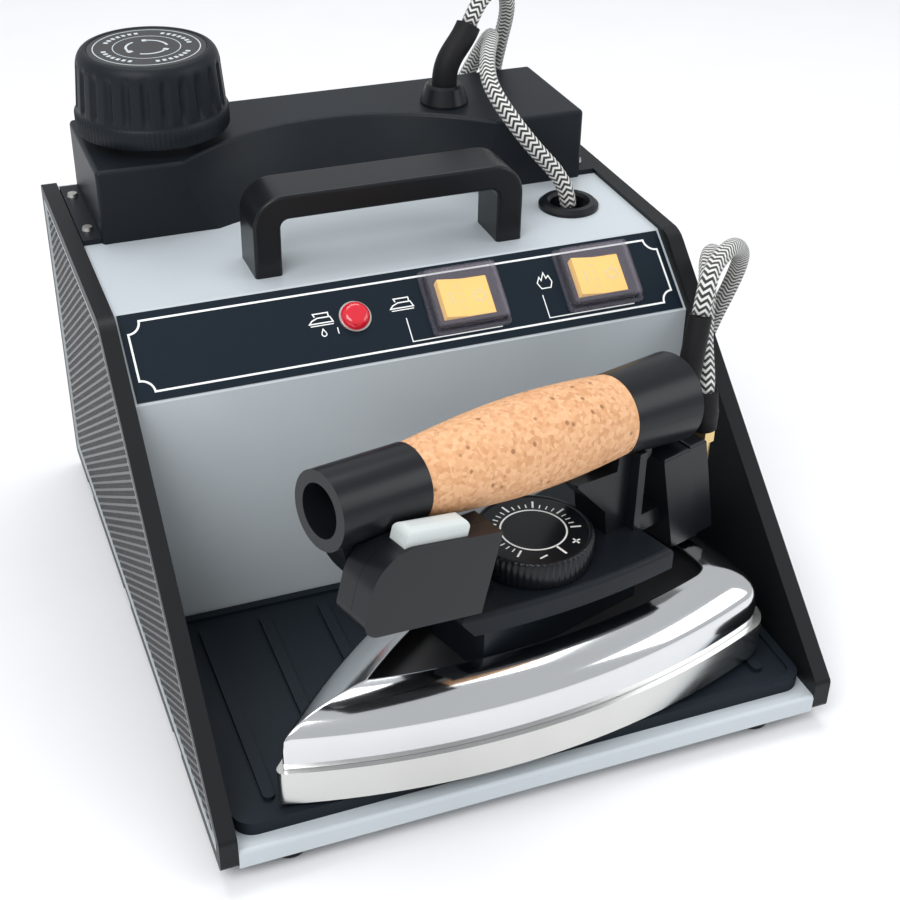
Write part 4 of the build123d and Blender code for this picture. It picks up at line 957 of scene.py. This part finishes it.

# %% [markdown]
# ## Finishes for the solids that stay
# The rest of the object keeps its CAD shape. Each solid names a slot of the record, so one table from
# slot to material finishes them all, except the heat shield, which is painted near-black as shade.

# %% Finish every node
finishes = {
    "grey_paint": grey_paint, "black_frame": black_frame, "black_mesh": black_mesh,
    "black_plastic": black_plastic, "satin_plastic": satin_plastic, "plate_print": plate_print,
    "mat_rubber": mat_rubber, "foot_rubber": foot_rubber, "seal_rubber": seal_rubber,
    "zinc_steel": zinc_steel, "amber_plastic": amber_plastic, "clear_plastic": clear_plastic,
    "red_lens": red_lens, "boiler_steel": boiler_steel, "brass": brass, "copper": copper,
    "coil_blue": coil_blue, "block_white": block_white, "disc_print": disc_print,
    "sole_metal": sole_metal, "chrome": chrome, "cork": cork, "button_grey": button_grey, "braid": braid,
}
slot_of = {part["node"]: part["material_slot"] for part in frame["record"]["subparts"]}
# The heat shield sits inside, out of the light: near-black painted shade replaces its slot's finish.
heat_shield_painted_shade = grained("heat_shield_painted_shade", (0.02, 0.02, 0.022), 0.5, 0.8, 0.03)
for name, solid in frame["nodes"].items():
    finish = heat_shield_painted_shade if name == "heat_shield" else finishes[slot_of[name]]
    solid.data.materials.clear()
    solid.data.materials.append(finish)
print(len(frame["nodes"]), "nodes have one of", len(finishes) + 1, "finishes")

# %% [markdown]
# ## Light and floor
# A pale floor, a bright even sky and three large soft lamps give the gentle studio look, with long soft
# reflections in the chrome.

# %% Floor and lights
def soft_lamp(name, spot, target, size, power):
    lamp = bpy.data.objects.new(name, bpy.data.lights.new(name, "AREA"))
    lamp.data.shape = "RECTANGLE"
    lamp.data.size, lamp.data.size_y = size
    lamp.data.energy = power
    lamp.location = spot
    lamp.rotation_euler = (Vector(target) - Vector(spot)).to_track_quat("-Z", "Y").to_euler()
    bpy.context.scene.collection.objects.link(lamp)


soft_lamp("key", (-0.9, -0.9, 1.5), (0, 0, 0.1), (1.2, 0.9), 19)
soft_lamp("fill", (1.3, -0.7, 0.9), (0, 0, 0.1), (0.9, 0.9), 6)
soft_lamp("top", (0.1, 0.5, 1.7), (0, 0, 0.1), (1.4, 0.8), 12)
floor_material = grained("floor", (0.86, 0.86, 0.87), 0.6, 4.0, 0.0, tone=0.01)
reach = 6.0
ground = add_piece("floor", [(-reach, -reach, 0), (reach, -reach, 0), (reach, reach, 0), (-reach, reach, 0)],
                   [(0, 1, 2, 3)], floor_material, None)
world = bpy.data.worlds.new("studio")
bpy.context.scene.world = world
world.use_nodes = True
world.node_tree.nodes["Background"].inputs["Color"].default_value = (0.95, 0.97, 1.0, 1)
world.node_tree.nodes["Background"].inputs["Strength"].default_value = 0.66
bpy.context.scene.view_settings.view_transform = "Standard"
